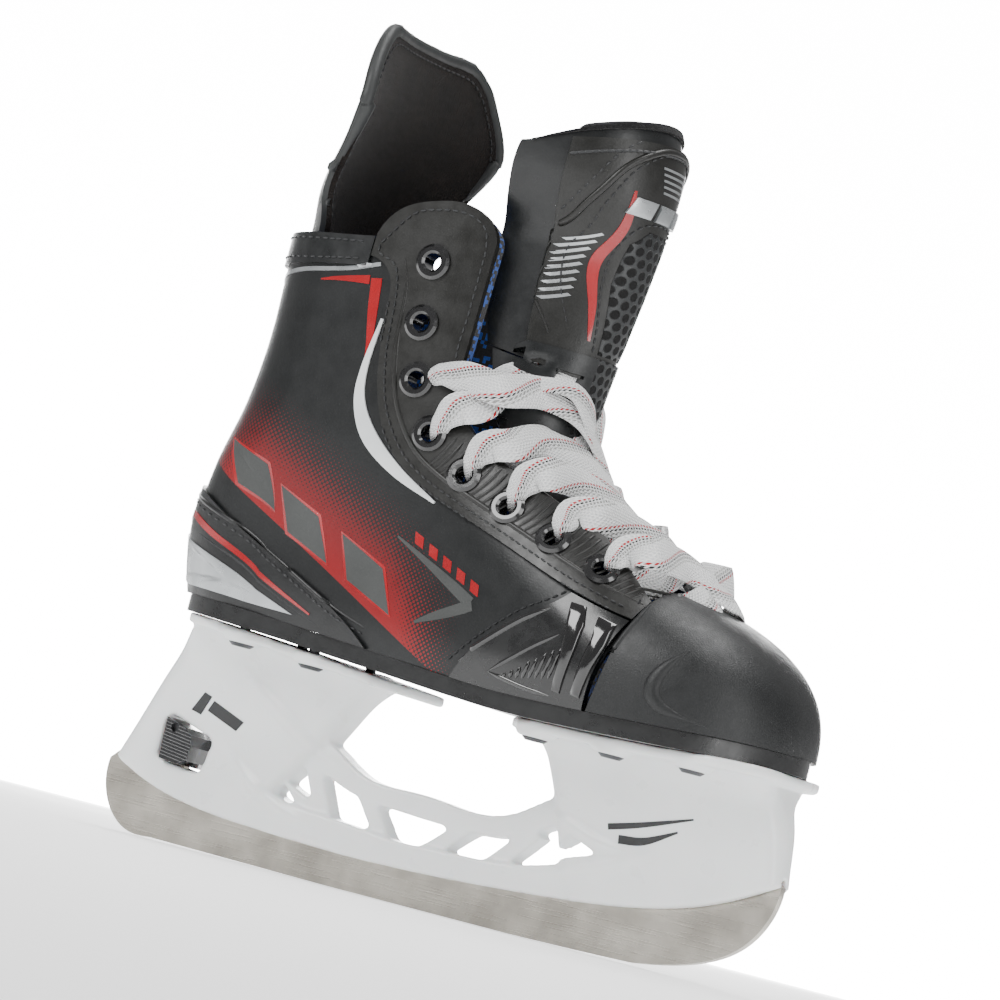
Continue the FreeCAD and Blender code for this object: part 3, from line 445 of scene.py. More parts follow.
cadFinishes = {"outsole": "sole", "insole_board": "board", "quarter_lateral": "composite",
               "quarter_medial": "composite", "facing_lateral": "facing", "facing_medial": "facing",
               "collar_band": "smoothBand", "heel_counter": "counter", "side_wrap_lateral": "glossSkin",
               "side_wrap_medial": "glossSkin", "toe_cap": "toePlastic", "eyelets_lateral": "enamel",
               "eyelets_medial": "enamel", "tongue_shield": "tongueSkin", "tendon_guard_shell": "guard",
               "heel_rivets": "rivet", "toe_rivets": "rivet", "runner": "steel",
               "blade_trigger": "trigger", "trigger_pin": "rivet", "tongue_lower": "smoothBand",
               "liner_lateral": "tricot", "liner_medial": "tricot", "footbed": "tricot",
               "tongue_foam": "smoothBand", "tongue_lining": "blackFelt", "tongue_binding": "blackFelt",
               "tendon_guard_felt": "brownFelt", "lace": "lace", "blade_holder": "nylon"}
for node, finish in cadFinishes.items():
    paint(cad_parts[node], finish)


# finding places on the boot
def treeOf(names):
    corners, faces = [], []
    for name in names:
        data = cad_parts[name].data
        start = len(corners)
        corners += [v.co.copy() for v in data.vertices]
        faces += [[start + k for k in f.vertices] for f in data.polygons]
    return BVHTree.FromPolygons(corners, faces)


sideTrees = {}
for side, word in ((lateral, "lateral"), (medial, "medial")):
    sideTrees[side] = treeOf(["quarter_" + word, "facing_" + word, "side_wrap_" + word, "heel_counter",
                              "collar_band", "toe_cap", "outsole"])
tongueTree = treeOf(["tongue_shield", "tongue_lower", "tongue_binding"])
holderTree = treeOf(["blade_holder"])


def strike(tree, start, aim, lift):
    # where a line meets the skin, and the outward direction there
    aim = Vector(aim).normalized()
    hit, normal, _, _ = tree.ray_cast(Vector(start), aim)
    if hit is None:
        hit, normal, _, _ = tree.find_nearest(Vector(start) + aim * 0.1)
    if normal.dot(aim) > 0:
        normal = -normal
    return hit + normal * lift * mm, normal


def onSide(x, z, side, lift=0.0):
    # from the side, at millimetres x and z of the side view; the heel's turn is met squarely
    back = min(max((-62 - x) / 34, 0.0), 1.0)
    if back <= 0:
        return strike(sideTrees[side], (x * mm, side * 0.12, z * mm), (0, -side, 0), lift)
    angle = math.radians(90) * back ** 1.3
    aim = Vector((math.sin(angle), -side * math.cos(angle), 0))
    middle = Vector((-62 * mm, 0, z * mm))
    return strike(sideTrees[side], middle - aim * 0.12, aim, lift)


def onTongue(y, z, lift=0.0):
    return strike(tongueTree, (0.08, y * mm, z * mm), (-1, 0, 0), lift)


def onTongueRound(degrees, z, lift=0.0):
    # round the tongue: degrees from its front, at height z
    angle = math.radians(degrees)
    aim = Vector((-math.cos(angle), -math.sin(angle), 0))
    return strike(tongueTree, Vector((-10 * mm, 0, z * mm)) - aim * 0.1, aim, lift)


def onHolder(x, z, side, lift=0.0):
    return strike(holderTree, (x * mm, side * 0.05, z * mm), (0, -side, 0), lift)


def smoothRun(points, gap):
    # evenly spaced points on a smooth line through the given ones
    points = [Vector(p) for p in points]
    line = [points[0] * 2 - points[1]] + points + [points[-1] * 2 - points[-2]]
    dense = []
    for a, b, c, d in zip(line, line[1:], line[2:], line[3:]):
        for k in range(24):
            t = k / 24
            dense.append(0.5 * (2 * b + (c - a) * t + (2 * a - 5 * b + 4 * c - d) * t * t
                                + (3 * b - a - 3 * c + d) * t ** 3))
    dense.append(points[-1])
    run, travelled, wanted = [dense[0]], 0.0, gap
    for a, b in zip(dense, dense[1:]):
        length = (b - a).length
        while length > 0 and travelled + length >= wanted:
            run.append(a.lerp(b, (wanted - travelled) / length))
            wanted += gap
        travelled += length
    return run


def meshPiece(name, corners, faces, finish, body, angle=40):
    data = bpy.data.meshes.new(name)
    data.from_pydata([tuple(c) for c in corners], [], faces)
    data.validate()
    piece = bpy.data.objects.new(name, data)
    bpy.context.collection.objects.link(piece)
    bpy.ops.object.select_all(action="DESELECT")
    piece.select_set(True)
    bpy.context.view_layer.objects.active = piece
    bpy.ops.object.mode_set(mode="EDIT")
    bpy.ops.mesh.select_all(action="SELECT")
    bpy.ops.mesh.normals_make_consistent(inside=False)
    bpy.ops.object.mode_set(mode="OBJECT")
    bpy.ops.object.shade_smooth_by_angle(angle=math.radians(angle))
    paint(piece, finish)
    if body:
        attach(piece, body)
    return piece


# stitches
stitch = {"pitch": 2.5, "length": 1.9, "width": 0.62, "sink": 0.12}


def stitchShape():
    bpy.ops.mesh.primitive_uv_sphere_add(segments=6, ring_count=5, radius=1.0)
    ball = bpy.context.object
    shape = [v.co.copy() for v in ball.data.vertices], [list(f.vertices) for f in ball.data.polygons]
    bpy.data.objects.remove(ball)
    return shape


def stitchRow(name, runs, finder, body, finish="thread", size=1.0):
    # a row of thread stitches lying on the skin along each run of places
    shape, shapeFaces = stitchShape()
    corners, faces = [], []
    for run in runs:
        places = smoothRun([(a, b, 0) for a, b in run], stitch["pitch"] * size)
        for here, there in zip(places, places[1:]):
            a, normal = finder(here.x, here.y)
            b, _ = finder(there.x, there.y)
            if (b - a).length > 3.2 * stitch["pitch"] * size * mm:
                continue
            along = (b - a).normalized()
            across = normal.cross(along).normalized()
            out = along.cross(across)
            middle = (a + b) / 2 + out * (stitch["width"] / 2 - stitch["sink"]) * mm * size
            start = len(corners)
            for c in shape:
                corners.append(middle + along * c.z * stitch["length"] / 2 * mm * size
                               + across * c.x * stitch["width"] / 2 * mm * size
                               + out * c.y * stitch["width"] / 2 * mm * size)
            faces += [[start + k for k in f] for f in shapeFaces]
    return meshPiece(name, corners, faces, finish, body)


def tubeOn(name, runs, finder, radius, body, finish, taper=None, flat=0.6, sides=8, gap=1.2):
    # a raised bead, half sunk in the skin, along each run; taper gives its girth from end to end
    corners, faces = [], []
    for run in runs:
        places = smoothRun([(a, b, 0) for a, b in run], gap)
        hits = [finder(p.x, p.y) for p in places]
        start = len(corners)
        for k, (place, normal) in enumerate(hits):
            along = (hits[min(k + 1, len(hits) - 1)][0] - hits[max(k - 1, 0)][0]).normalized()
            across = normal.cross(along).normalized()
            share = k / max(len(hits) - 1, 1)
            fullness = taper(share) if taper else min(1.0, 0.25 + 4 * min(share, 1 - share))
            girth = radius * mm * fullness
            for s in range(sides):
                angle = 2 * math.pi * s / sides
                outwards = across * math.cos(angle) + normal * math.sin(angle) * flat
                corners.append(place + outwards * girth)
        for k in range(len(hits) - 1):
            for s in range(sides):
                a, b = start + k * sides + s, start + k * sides + (s + 1) % sides
                faces.append([a, b, b + sides, a + sides])
        faces.append([start + s for s in range(sides)][::-1])
        faces.append([start + (len(hits) - 1) * sides + s for s in range(sides)])
    return meshPiece(name, corners, faces, finish, body, 60)


def patchOn(name, outline, finder, height, body, finish, dome=0.0,
            rings=(1.0, 0.93, 0.75, 0.5, 0.25), gap=1.2):
    # a thin print or a padded panel, laid on the skin inside an outline that its middle can see
    edge = []
    for a, b in zip(outline, outline[1:] + outline[:1]):
        steps = max(1, int(math.dist(a, b) / gap))
        edge += [(a[0] + (b[0] - a[0]) * k / steps, a[1] + (b[1] - a[1]) * k / steps) for k in range(steps)]
    centre = (sum(p[0] for p in edge) / len(edge), sum(p[1] for p in edge) / len(edge))
    corners, faces, count = [], [], len(edge)
    levels = [(1.0, -0.15)] + [(r, height + dome * math.sqrt(max(0.0, 1 - r * r))) for r in rings]
    for share, lift in levels:
        for p in edge:
            place, normal = finder(centre[0] + (p[0] - centre[0]) * share,
                                   centre[1] + (p[1] - centre[1]) * share)
            corners.append(place + normal * lift * mm)
    place, normal = finder(*centre)
    corners.append(place + normal * (height + dome) * mm)
    for k in range(len(levels) - 1):
        for s in range(count):
            a, b = k * count + s, k * count + (s + 1) % count
            faces.append([a, b, b + count, a + count])
    last = (len(levels) - 1) * count
    faces += [[last + s, last + (s + 1) % count, len(corners) - 1] for s in range(count)]
    faces.append(list(range(count))[::-1])
    return meshPiece(name, corners, faces, finish, body, 50)


def ribbonOn(name, spine, widths, finder, height, body, finish, gap=1.0):
    # a print of changing width along a spine
    places = smoothRun([(a, b, w) for (a, b), w in zip(spine, widths)], gap)
    corners, faces = [], []
    for k, p in enumerate(places):
        step = places[min(k + 1, len(places) - 1)] - places[max(k - 1, 0)]
        across = Vector((-step.y, step.x, 0)).normalized() * p.z / 2
        for share, lift in ((-1, -0.15), (-0.96, height), (-0.4, height), (0.4, height), (0.96, height),
                            (1, -0.15)):
            place, normal = finder(p.x + across.x * share, p.y + across.y * share)
            corners.append(place + normal * lift * mm)
    for k in range(len(places) - 1):
        for s in range(6):
            a, b = k * 6 + s, k * 6 + (s + 1) % 6
            faces.append([a, b, b + 6, a + 6])
    faces.append([0, 1, 2, 3, 4, 5][::-1])
    faces.append([(len(places) - 1) * 6 + s for s in range(6)])
    return meshPiece(name, corners, faces, finish, body, 50)


def bothSides(make):
    for side, word in ((lateral, "lateral"), (medial, "medial")):
        make(side, word, lambda x, z, side=side: onSide(x, z, side))


# seams and beads of the boot
facingSeam = [(-48.0, 181.5), (-47.6, 178.6), (-41.6, 176.4), (-38.8, 168), (-37.2, 151), (-33, 136.5),
              (-24.8, 125), (-15, 118.6), (0.6, 112.9), (16.2, 107.8), (35.6, 101.3), (47.6, 97.9),
              (58.6, 95.4)]
facingCrown = [(-48.0, 181.5), (-40, 191.6), (-32.6, 194.2), (-24, 195), (-18, 192.2), (-16.2, 186)]
facingThroat = [(-16.2, 186), (-16.1, 168), (-16, 153), (-11.2, 140.4), (0.4, 132.4), (15, 126.4),
                (31, 120.2), (47, 113.8), (56, 109.9), (59.6, 105), (59.4, 97)]


def facingDetails(side, word, finder):
    stitchRow("facing_stitches_" + word, [facingSeam, facingCrown, facingThroat], finder, "boot")
    inner = [[(x + 2.6, z + 2.4) for x, z in facingSeam[2:]]]
    tubeOn("facing_bead_" + word, inner, finder, 0.8, "boot", "facing")
    ribs = []
    for k in range(34):
        x = -16 + 2.2 * k
        low = facingLine(x, 3.2)
        ribs.append([(x, low), (x + 4.5, low + 5.5), (x + 7.5, min(low + 12, facingLine(x + 7.5, 18.0)))])
    tubeOn("facing_ribs_" + word, ribs, finder, 0.55, "boot", "facing", flat=0.8, sides=6,
           gap=1.6)


def facingLine(x, above):
    # height of the facing's lower seam at x, and a distance over it
    line = [(-40, 160), (-35, 137), (-26, 124.5), (-16, 118), (0, 112), (16, 107), (35, 100.5), (47, 97),
            (61, 94)]
    for (a, p), (b, q) in zip(line, line[1:]):
        if x <= b:
            return p + (q - p) * (x - a) / (b - a) + above
    return line[-1][1] + above


def quarterDetails(side, word, finder):
    seam = [[(x - 1.9, z - 1.9) for x, z in facingSeam[3:]]]
    stitchRow("quarter_stitches_" + word, seam, finder, "boot")
    wrapSeam = [[(6.5, 70), (15.5, 79), (26.5, 88.2), (36, 93.8), (40, 97)]]
    stitchRow("wrap_stitches_" + word, wrapSeam, finder, "boot")
    tubeOn("wrap_bead_" + word, [[(10.5, 70.5), (18.6, 77.6), (29, 85.8), (38, 91)]], finder, 0.9, "boot",
           "patent")


def counterDetails(side, word, finder):
    rim = [(-24, 71.6), (-36, 75.2), (-52.5, 82.6), (-76, 93.2), (-90, 99.5), (-96.2, 101.6)]
    stitchRow("counter_stitches_" + word, [rim], finder, "boot")
    tubeOn("counter_bead_" + word, [[(x, z + 2.0) for x, z in rim]], finder, 0.7, "boot",
           "counter")
    stitchRow("collar_stitches_" + word, [[(-96, 179.4), (-75, 179.4), (-51.5, 181.4)],
                                          [(-96, 173.6), (-75, 173.6), (-52, 176.4)]], finder, "boot")


bothSides(facingDetails)
bothSides(quarterDetails)
bothSides(counterDetails)
print("seams stitched")


# prints
def sidePrints(side, word, finder):
    for k, (x, z, width) in enumerate(((-74, 112, 13), (-54, 101.5, 15), (-30, 92, 17))):
        rise, lean = 12.5, 5.0
        outline = [(x - width / 2, z + rise / 2), (x + width / 2 - 1, z + rise / 2 - width * 0.42),
                   (x + width / 2 + lean, z - rise / 2 - width * 0.42), (x - width / 2 + lean, z - rise / 2)]
        big = []
        for n, (a, b) in enumerate(outline):
            big.append((a + (-0.7 if n in (0, 3) else 0.7), b + (0.7 if n in (0, 1) else -0.7)))
        patchOn("band_block_edge_%s_%d" % (word, k), big, finder, 0.10, "boot", "redInk")
        patchOn("band_block_%s_%d" % (word, k), outline, finder, 0.18, "boot", "greyInk")
    for k in range(5):
        x, z = -14.5 + 5.6 * k, 101.5 - 2.45 * k
        outline = [(x, z + 2.0), (x + 3.2, z + 0.7), (x + 3.8, z - 2.6), (x + 0.6, z - 1.3)]
        patchOn("small_bar_%s_%d" % (word, k), outline, finder, 0.12, "boot", "redInk")
    ribbonOn("chevron_upper_" + word, [(-20, 101), (-8, 95.5), (4, 89.8), (10.5, 86.6)],
             [0.6, 2.0, 3.4, 3.6], finder, 0.12, "boot", "greyInk")
    ribbonOn("chevron_lower_" + word, [(-7.5, 78.4), (-1, 81.4), (5, 84), (10.5, 86.6)],
             [0.8, 2.6, 3.4, 3.6], finder, 0.12, "boot", "greyInk")
    ribbonOn("ankle_red_top_" + word, [(-66, 168.2), (-57, 169.8), (-48.6, 170.9)], [0.5, 1.6, 2.8],
             finder, 0.2, "boot", "redInk")
    ribbonOn("ankle_red_stem_" + word, [(-47.2, 171.6), (-45.8, 162), (-44.2, 152), (-43.9, 144.5)],
             [3.6, 3.2, 1.8, 0.5], finder, 0.2, "boot", "redInk")
    ribbonOn("ankle_white_" + word, [(-41.9, 160.5), (-43.6, 146), (-42.4, 136), (-36.5, 126.8),
                                     (-25.5, 119), (-10.5, 112.4)], [1.0, 2.2, 3.6, 5.0, 3.6, 0.8], finder,
             0.5, "boot", "whiteInk")
    ribbonOn("collar_silver_" + word, [(-92, 160), (-88, 166.5), (-74, 170), (-58, 172.6), (-46.5, 176)],
             [0.8, 1.2, 1.3, 1.3, 1.2], finder, 0.25, "boot", "silverInk")
    ribbonOn("counter_red_" + word, [(-93.5, 86), (-91, 93.2), (-86.5, 94.8), (-76, 88.5), (-60, 80.8),
                                     (-42, 73.4)], [0.8, 1.6, 1.9, 1.7, 1.4, 0.5], finder, 0.25, "boot",
             "redInk")
    patchOn("counter_wedge_" + word, [(-91.5, 89.5), (-84, 86.5), (-66, 78.6), (-48, 72.4), (-66, 73.0),
                                      (-86, 74.6), (-92.5, 78)], finder, 0.42, "boot",
            "silverInk")
    tubeOn("counter_groove_" + word, [[(-40, 71.2), (-58, 78.0), (-74, 85.3), (-84, 89.8)]], finder, 0.35,
           "boot", "thread")


bothSides(sidePrints)


def crescentTaper(share):
    return 0.12 + math.sin(math.pi * min(share * 1.15, 1.0)) ** 1.5


def wrapPanels(side, word, finder):
    patchOn("wrap_panel_rear_" + word, [(42.8, 93.6), (47.6, 93.2), (49.2, 88), (48.6, 80), (46.8, 68),
                                        (44.2, 68.4), (44.6, 78), (44.0, 86)], finder, 0.3, "boot",
            "patent", dome=1.1)
    patchOn("wrap_panel_front_" + word, [(52.0, 91.4), (57.6, 90.2), (57.4, 84), (55.2, 76), (53.4, 68),
                                         (50.4, 68.4), (51.4, 78), (52.6, 85)], finder, 0.3, "boot",
            "patent", dome=1.3)
    ridges = []
    for k in range(9):
        x = 27.5 + 2.1 * k
        ridges.append([(x, 68.6 + 0.35 * k), (x + 0.6 + 0.25 * k, 70.5 + 1.55 * k)])
    tubeOn("wrap_vent_ridges_" + word, ridges, finder, 0.62, "boot", "patent", flat=1.0,
           sides=6, gap=0.9)
    tubeOn("wrap_vent_border_" + word, [[(22, 69.4), (34, 78.6), (42.6, 84.2)],
                                        [(22, 69.4), (34, 67.4), (43.6, 66.6)]], finder, 0.7, "boot",
           "patent")
    tubeOn("toe_crescent_" + word, [[(79.6, 88.4), (75.2, 82), (73.4, 75.8), (76.4, 71.4), (82, 69.8),
                                     (91, 68.6)]], finder, 2.0, "boot", "toePlastic",
           taper=crescentTaper, flat=0.45)
    tubeOn("toe_edge_bead_" + word, [[(62.6, 99), (61.6, 92), (57.2, 76), (55.8, 66.4)]], finder, 0.8,
           "boot", "toePlastic")


bothSides(wrapPanels)
print("prints and panels laid")


# tongue
def tongueDetails():
    finder = onTongue
    border = [(-16.0, 168), (-18.5, 180), (-20, 196), (-20.5, 208), (-17, 219), (-9, 225.5), (0, 227),
              (9, 225.5), (17, 219), (20.5, 208), (20, 196), (18.5, 180), (16, 168)]
    tubeOn("tongue_border", [border], finder, 1.1, "tongue", "tongueSkin", flat=0.8)
    stitchRow("tongue_stitches", [[(y * 1.09, 193 + (z - 190) * 1.04) for y, z in border]], finder,
              "tongue")
    stitchRow("tongue_inner_stitches", [[(y * 0.88, 192 + (z - 190) * 0.92) for y, z in border]], finder,
              "tongue")
    patchOn("tongue_mesh", [(-9.5, 198), (-5, 203), (5, 203), (9.5, 198), (9.5, 186), (7.5, 174),
                            (6.5, 165.5), (-6.5, 165.5), (-7.5, 174), (-9.5, 186)], finder, 0.25, "tongue",
            "mesh", dome=0.6)
    stitchRow("tongue_mesh_stitches", [[(-8, 165.5), (-9.2, 174), (-11.2, 186), (-11.2, 199), (-6, 205),
                                        (6, 205), (11.2, 199), (11.2, 186), (9.2, 174), (8, 165.5)]],
              finder, "tongue")
    for side, word in ((lateral, "lateral"), (medial, "medial")):
        ribbonOn("tongue_red_" + word, [(side * 13.6, 213), (side * 12.6, 203), (side * 13.4, 190),
                                        (side * 11.2, 178), (side * 9.6, 168)], [0.6, 2.2, 1.8, 1.4, 0.5],
                 finder, 0.3, "tongue", "redInk")
        for k in range(9):
            ribbonOn("tongue_stripe_%s_%d" % (word, k), [(side * 18.2, 195 - 2.3 * k),
                                                         (side * (15.2 - 0.1 * k), 199 - 2.3 * k)],
                     [0.75, 0.75], finder, 0.15, "tongue", "silverInk", gap=0.8)
    for k in range(5):
        ribbonOn("tongue_top_stripe_%d" % k, [(-7 + 0.5 * k, 221.8 - 1.7 * k), (8, 221.8 - 1.7 * k)],
                 [0.7, 0.7], finder, 0.15, "tongue", "silverInk")
    for k, y in enumerate((-9.5, -1.0, 7.5)):
        patchOn("tongue_badge_%d" % k, [(y - 3.4, 211.5), (y + 3.6, 211.5), (y + 2.4, 206.2),
                                        (y - 4.6, 206.2)], finder, 0.8, "tongue",
                "silverInk", dome=0.2, rings=(0.96, 0.8, 0.5))


tongueEdge = {"roll": 3.6, "bead": 1.0, "foldOut": 0.9, "foldIn": 0.1, "mesh": 7.2}


def tongueEdges():
    # rolled felt round the top, and the fold of skin that bridges the bend at the ankle
    half = [(0, 230.6), (25, 229.6), (50, 226.6), (70, 223.6), (84, 221.4), (98, 218.6)]
    top = [(-a, z) for a, z in half[:0:-1]] + half
    tubeOn("tongue_rolled_edge", [top], onTongueRound, tongueEdge["roll"], "tongue",
           "blackFelt", flat=1.0, sides=12, gap=2.0)
    stitchRow("tongue_edge_stitches", [[(a * 0.93, z - 4.8) for a, z in top]], onTongueRound, "tongue",
              size=1.6)
    rear = [[(side * 72, z) for z in (164, 176, 190, 204, 216)] for side in (lateral, medial)]
    tubeOn("tongue_side_bead", rear, onTongueRound, tongueEdge["bead"], "tongue",
           "tongueSkin", gap=2.0)
    corners, faces = [], []
    rows = [137, 139, 141, 143, 145, 147, 149, 151, 153, 155, 155.9, 157.6, 158.6, 160.5, 162.5, 164.5]
    sweeps = [math.radians(-66 + 6 * k) for k in range(23)]
    for lift in (tongueEdge["foldOut"], tongueEdge["foldIn"]):
        for z in rows:
            for angle in sweeps:
                aim = Vector((-math.cos(angle), -math.sin(angle), 0))
                place, _ = strike(tongueTree, Vector((-12 * mm, 0, z * mm)) - aim * 0.1, aim, lift)
                corners.append(place)
    across, count = len(sweeps), len(rows) * len(sweeps)
    for i in range(len(rows) - 1):
        for j in range(across - 1):
            a = i * across + j
            faces.append([a, a + 1, a + 1 + across, a + across])
            faces.append([count + a, count + a + across, count + a + 1 + across, count + a + 1])
    rim = list(range(across)) + [i * across + across - 1 for i in range(1, len(rows))]
    rim += [(len(rows) - 1) * across + j for j in range(across - 2, -1, -1)]
    rim += [i * across for i in range(len(rows) - 2, 0, -1)]
    for a, b in zip(rim, rim[1:] + rim[:1]):
        faces.append([a, count + a, count + b, b])
    fold = meshPiece("tongue_fold", corners, faces, "smoothBand", None, 60)
    fold.data.materials.append(finishes["mesh"])
    for face in fold.data.polygons:
        face.material_index = 1 if abs(face.center.y) < tongueEdge["mesh"] * mm else 0
    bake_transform(fold)


guardBinding = {"radius": 2.1, "sink": 1.4}


def guardEdge():
    outline = []
    for side in (lateral, medial):
        run = [(27.5, 186), (33, 193.5), (38.6, 205), (42, 214), (43, 220), (41, 228), (36.4, 236),
               (32, 241), (25.4, 244.2), (12, 244.3)]
        outline.append([(side * y, z) for y, z in run])
    line = outline[0] + [(0, 244.3)] + outline[1][::-1]

    def rim(y, z):
        return strike(guardTree, (0.05, y * mm * 0.965, (z - 0.8) * mm), (-1, 0, 0), -guardBinding["sink"])

    def face(y, z):
        return strike(guardTree, (0.05, y * mm, z * mm), (-1, 0, 0), 0)

    tubeOn("guard_binding", [line], rim, guardBinding["radius"], "guard", "guard",
           flat=1.0, sides=10)
    stitchRow("guard_stitches", [[(y * 0.9, 190 + (z - 190) * 0.93) for y, z in line]], face, "guard")


guardTree = treeOf(["tendon_guard_felt", "tendon_guard_shell"])
tongueDetails()
tongueEdges()
guardEdge()
print("tongue and guard dressed")


# laces
lace = {"width": 10.2, "thick": 1.3, "gap": 1.0, "under": 1.7, "clear": 3.0}
# each run of the outer side, in mm: from its eyelet, out over the throat's edge, to the tongue's far side
laceRuns = {
    3: [(-24.2, -30.5, 146.0), (-18.7, -32.5, 148.7), (-10.7, -29.5, 149.1), (-2.6, -23.5, 148.5),
        (5.3, -15.0, 147.2), (12.7, -6.0, 144.2), (17.3, 2.0, 139.5), (17.6, 11.0, 133.5),
        (11.0, 19.5, 129.5), (1.0, 24.0, 127.0)],
    4: [(-15.9, -31.0, 129.8), (-14.0, -33.5, 134.7), (-11.5, -30.0, 140.0), (-7.4, -24.0, 143.0),
        (-1.8, -15.0, 143.1), (7.7, -6.5, 140.8), (15.5, 2.0, 135.9), (19.0, 10.0, 130.0),
        (17.0, 18.5, 124.5), (10.0, 23.5, 121.0)],
    5: [(-1.5, -31.0, 121.3), (-1.0, -33.0, 126.6), (1.1, -29.5, 131.5), (4.7, -23.0, 133.8),
        (10.4, -15.0, 133.9), (18.0, -6.5, 131.9), (25.3, 2.0, 127.8), (29.3, 9.0, 123.3),
        (28.5, 17.5, 117.5), (23.0, 23.0, 114.5)],
    6: [(12.9, -29.0, 115.5), (13.8, -31.0, 120.5), (15.5, -27.5, 125.7), (18.2, -21.5, 128.2),
        (24.5, -13.5, 127.6), (32.5, -5.0, 124.0), (38.6, 2.0, 120.5), (42.2, 9.0, 116.8),
        (42.5, 17.0, 111.8), (38.5, 22.5, 108.5)],
    7: [(28.8, -27.0, 110.0), (29.2, -29.0, 114.4), (31.1, -25.5, 118.7), (35.4, -19.5, 120.0),
        (43.4, -12.5, 118.4), (50.6, -5.0, 116.0), (54.3, 2.0, 113.6), (57.0, 9.0, 110.6),
        (57.0, 16.5, 106.6), (53.0, 21.5, 103.5)],
    8: [(44.2, -24.0, 105.0), (45.6, -26.0, 108.2), (48.7, -22.5, 111.8), (53.7, -16.5, 113.4),
        (60.3, -9.5, 112.0), (65.5, -3.0, 109.0), (68.6, 2.5, 106.8), (69.6, 8.5, 104.4),
        (67.5, 14.5, 101.6), (63.0, 18.5, 99.0)]}
laceCores = {3: (-8, 0, 118), 4: (-4, 0, 112), 5: (6, 0, 103), 6: (20, 0, 95), 7: (34, 0, 88),
             8: (48, 0, 82)}


def bandAlong(name, stops, body, finish):
    # a flat woven band through (place, outward, width) stops in millimetres, a little crowned
    places = smoothRun([s[0] for s in stops], lace["gap"])
    total = len(places) - 1
    lengths = [0.0]
    for a, b in zip(stops, stops[1:]):
        lengths.append(lengths[-1] + (b[0] - a[0]).length)
    profile = [(-0.5, -0.15), (-0.5, 0.15), (-0.36, 0.42), (-0.12, 0.5), (0.12, 0.5), (0.36, 0.42),
               (0.5, 0.15), (0.5, -0.15), (0.36, -0.42), (0.12, -0.5), (-0.12, -0.5), (-0.36, -0.42)]
    corners, faces, marks = [], [], []
    for k, place in enumerate(places):
        at = lengths[-1] * k / total
        i = max(n for n in range(len(stops) - 1) if lengths[n] <= at + 1e-9)
        t = (at - lengths[i]) / max(lengths[i + 1] - lengths[i], 1e-9)
        t = t * t * (3 - 2 * t)
        outward = stops[i][1].lerp(stops[i + 1][1], t)
        width = stops[i][2] + (stops[i + 1][2] - stops[i][2]) * t
        along = (places[min(k + 1, total)] - places[max(k - 1, 0)]).normalized()
        across = along.cross(outward).normalized()
        outward = across.cross(along).normalized()
        narrow = max(1 - width / lace["width"], 0.0)
        thick = lace["thick"] * (1 + narrow)
        for u, h in profile:
            corners.append((place + across * u * width + outward * (h * thick - 14 * narrow * u * u)) * mm)
            marks.append((u + 0.5, k * lace["gap"] / 10))
    count = len(profile)
    for k in range(total):
        for s in range(count):
            a, b = k * count + s, k * count + (s + 1) % count
            faces.append([a, b, b + count, a + count])
    faces.append(list(range(count))[::-1])
    faces.append([total * count + s for s in range(count)])
    piece = meshPiece(name, corners, faces, finish, body, 60)
    layer = piece.data.uv_layers.new(name="UVMap")
    for loop in piece.data.loops:
        layer.data[loop.index].uv = marks[loop.vertex_index]
    return piece


def laceRun(k, side, sink):
    # one run; the runs of the inner side cross under, by sink
    core = Vector(laceCores[k])
    shares = [0.46, 0.62, 0.96, 1.0, 1.0, 1.0, 1.0, 0.98, 0.94, 0.9]
    turns = [0, 0, 0, 0.1, 0.3, 0.55, 0.8, 1, 1, 1]            # from facing outwards to facing forwards
    clears = [0.2, 3.0, 2.6, 2.2]
    places = [Vector(p) for p in laceRuns[k]]
    for n, clear in enumerate(clears):
        skin, _ = strike(sideTrees[lateral], (places[n].x * mm, -0.12, places[n].z * mm), (0, 1, 0), 0)
        short = places[n].y - (skin.y / mm - clear)
        if short > 0 or n == 0:
            places[n] += Vector((0.53, -1, -0.07)) * short
    for n in range(4, 8):                                # clear of the tongue
        out = (places[n] - core).normalized()
        skin, _ = strike(throatTree, (places[n] + out * 40) * mm, -out, 0)
        places[n] += out * max(lace["clear"] - (places[n] - skin / mm).dot(out), 0)
    stops = []
    for n, place in enumerate(places):
        along = places[min(n + 1, len(places) - 1)] - places[max(n - 1, 0)]
        outward = Vector((0.35, -1, 0.15)).normalized().lerp((place - core).normalized(), turns[n])
        outward = (outward - along * outward.dot(along) / along.length_squared).normalized()
        depth = 0.0 if n < 3 else sink
        place = place - outward * depth
        stops.append((place, outward, lace["width"] * shares[n]))
    inside = places[0] + Vector((0.3, 4.5, -0.3))
    stops.insert(0, (inside, stops[0][1], lace["width"] * 0.42))
    if side == medial:
        stops = [(Vector((p.x, -p.y, p.z)), Vector((o.x, -o.y, o.z)), w) for p, o, w in stops]
    return bandAlong("lace_%s_%d" % ("lateral" if side < 0 else "medial", k), stops, "boot",
                     "lace")


throatTree = treeOf(["tongue_lower", "tongue_shield", "toe_cap"])
for k in laceRuns:
    laceRun(k, medial, lace["under"])
    laceRun(k, lateral, 0.0)
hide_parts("lace")
print("laced")


# blade holder
holder = {"ridge": 2.3, "ridgeFlat": 0.55, "voxel": 0.75, "soften": 6}    # millimetres; rounds of smoothing


def ridgeTaper(share):
    return 0.15 + 0.85 * math.sin(math.pi * share)


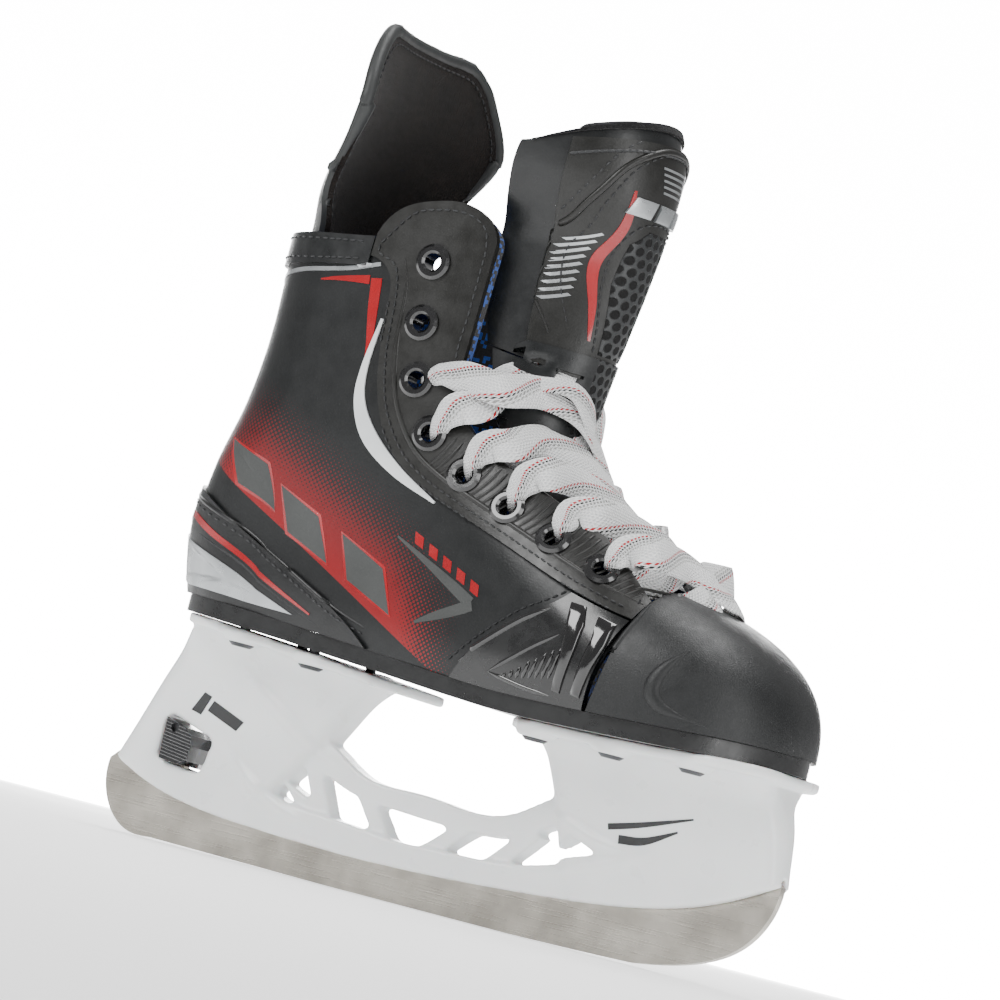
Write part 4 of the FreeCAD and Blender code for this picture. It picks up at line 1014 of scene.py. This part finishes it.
def holderDetails():
    # the holder's own shape, with its swept ridges joined in and every edge softened as moulded nylon is
    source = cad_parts["blade_holder"]
    shell = source.copy()
    shell.data = source.data.copy()
    shell.parent = None
    for key in list(shell.keys()):
        del shell[key]
    shell.name = "holder_body"
    bpy.context.collection.objects.link(shell)
    bpy.ops.object.select_all(action="DESELECT")
    shell.select_set(True)
    bpy.context.view_layer.objects.active = shell
    bpy.ops.object.mode_set(mode="EDIT")
    bpy.ops.mesh.select_all(action="SELECT")
    bpy.ops.mesh.remove_doubles(threshold=0.00001)
    bpy.ops.object.mode_set(mode="OBJECT")
    beads = []
    for side in (lateral, medial):
        def finder(x, z, side=side):
            return onHolder(x, z, side)

        runs = [[(-70, 56), (-62, 49.5), (-50, 42), (-42, 37.4), (-30, 33.4)],
                [(-70, 33), (-62, 25), (-50, 18.4), (-38, 15.6)],
                [(34, 38), (42, 34.6), (54, 31), (66, 30.4)],
                [(34, 17.4), (48, 21.6), (60, 26.4), (72, 32)]]
        bead = tubeOn("holder_bead", runs, finder, holder["ridge"], "boot", "nylon",
                      taper=ridgeTaper, flat=holder["ridgeFlat"], sides=10)
        bead.parent = None
        beads.append(bead)
    bpy.ops.object.select_all(action="DESELECT")
    for bead in beads:
        bead.select_set(True)
    shell.select_set(True)
    bpy.context.view_layer.objects.active = shell
    bpy.ops.object.join()
    remesh = shell.modifiers.new("skin", "REMESH")
    remesh.mode = "VOXEL"
    remesh.voxel_size = holder["voxel"] * mm
    bpy.ops.object.modifier_apply(modifier="skin")
    relax = shell.modifiers.new("soften", "SMOOTH")
    relax.factor = 0.5
    relax.iterations = holder["soften"]
    bpy.ops.object.modifier_apply(modifier="soften")
    bpy.ops.object.shade_smooth()
    paint(shell, "nylon")
    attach(shell, "boot")
    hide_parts("blade_holder")
    print("holder", len(shell.data.polygons), "faces")


holderDetails()


def holderMarks():
    for side, word in ((lateral, "lateral"), (medial, "medial")):
        def finder(x, z, side=side):
            return onHolder(x, z, side, 0.05)

        patchOn("heel_mark_a_" + word, [(-84, 39.6), (-80.6, 45.4), (-78, 44.6), (-80.6, 38.8)], finder,
                0.12, "boot", "blackInk")
        patchOn("heel_mark_b_" + word, [(-77, 43.6), (-66, 39.6), (-68, 36.6), (-78.6, 40.4)], finder,
                0.12, "boot", "blackInk")
        ribbonOn("toe_mark_a_" + word, [(56, 36.2), (66, 38.8), (82, 43.8)], [1.8, 1.6, 0.5], finder, 0.12,
                 "boot", "blackInk")
        ribbonOn("toe_mark_b_" + word, [(60, 33.4), (68, 34.6), (78, 39.4)], [2.6, 2.2, 0.5], finder, 0.12,
                 "boot", "blackInk")


holderMarks()
print("holder moulded")
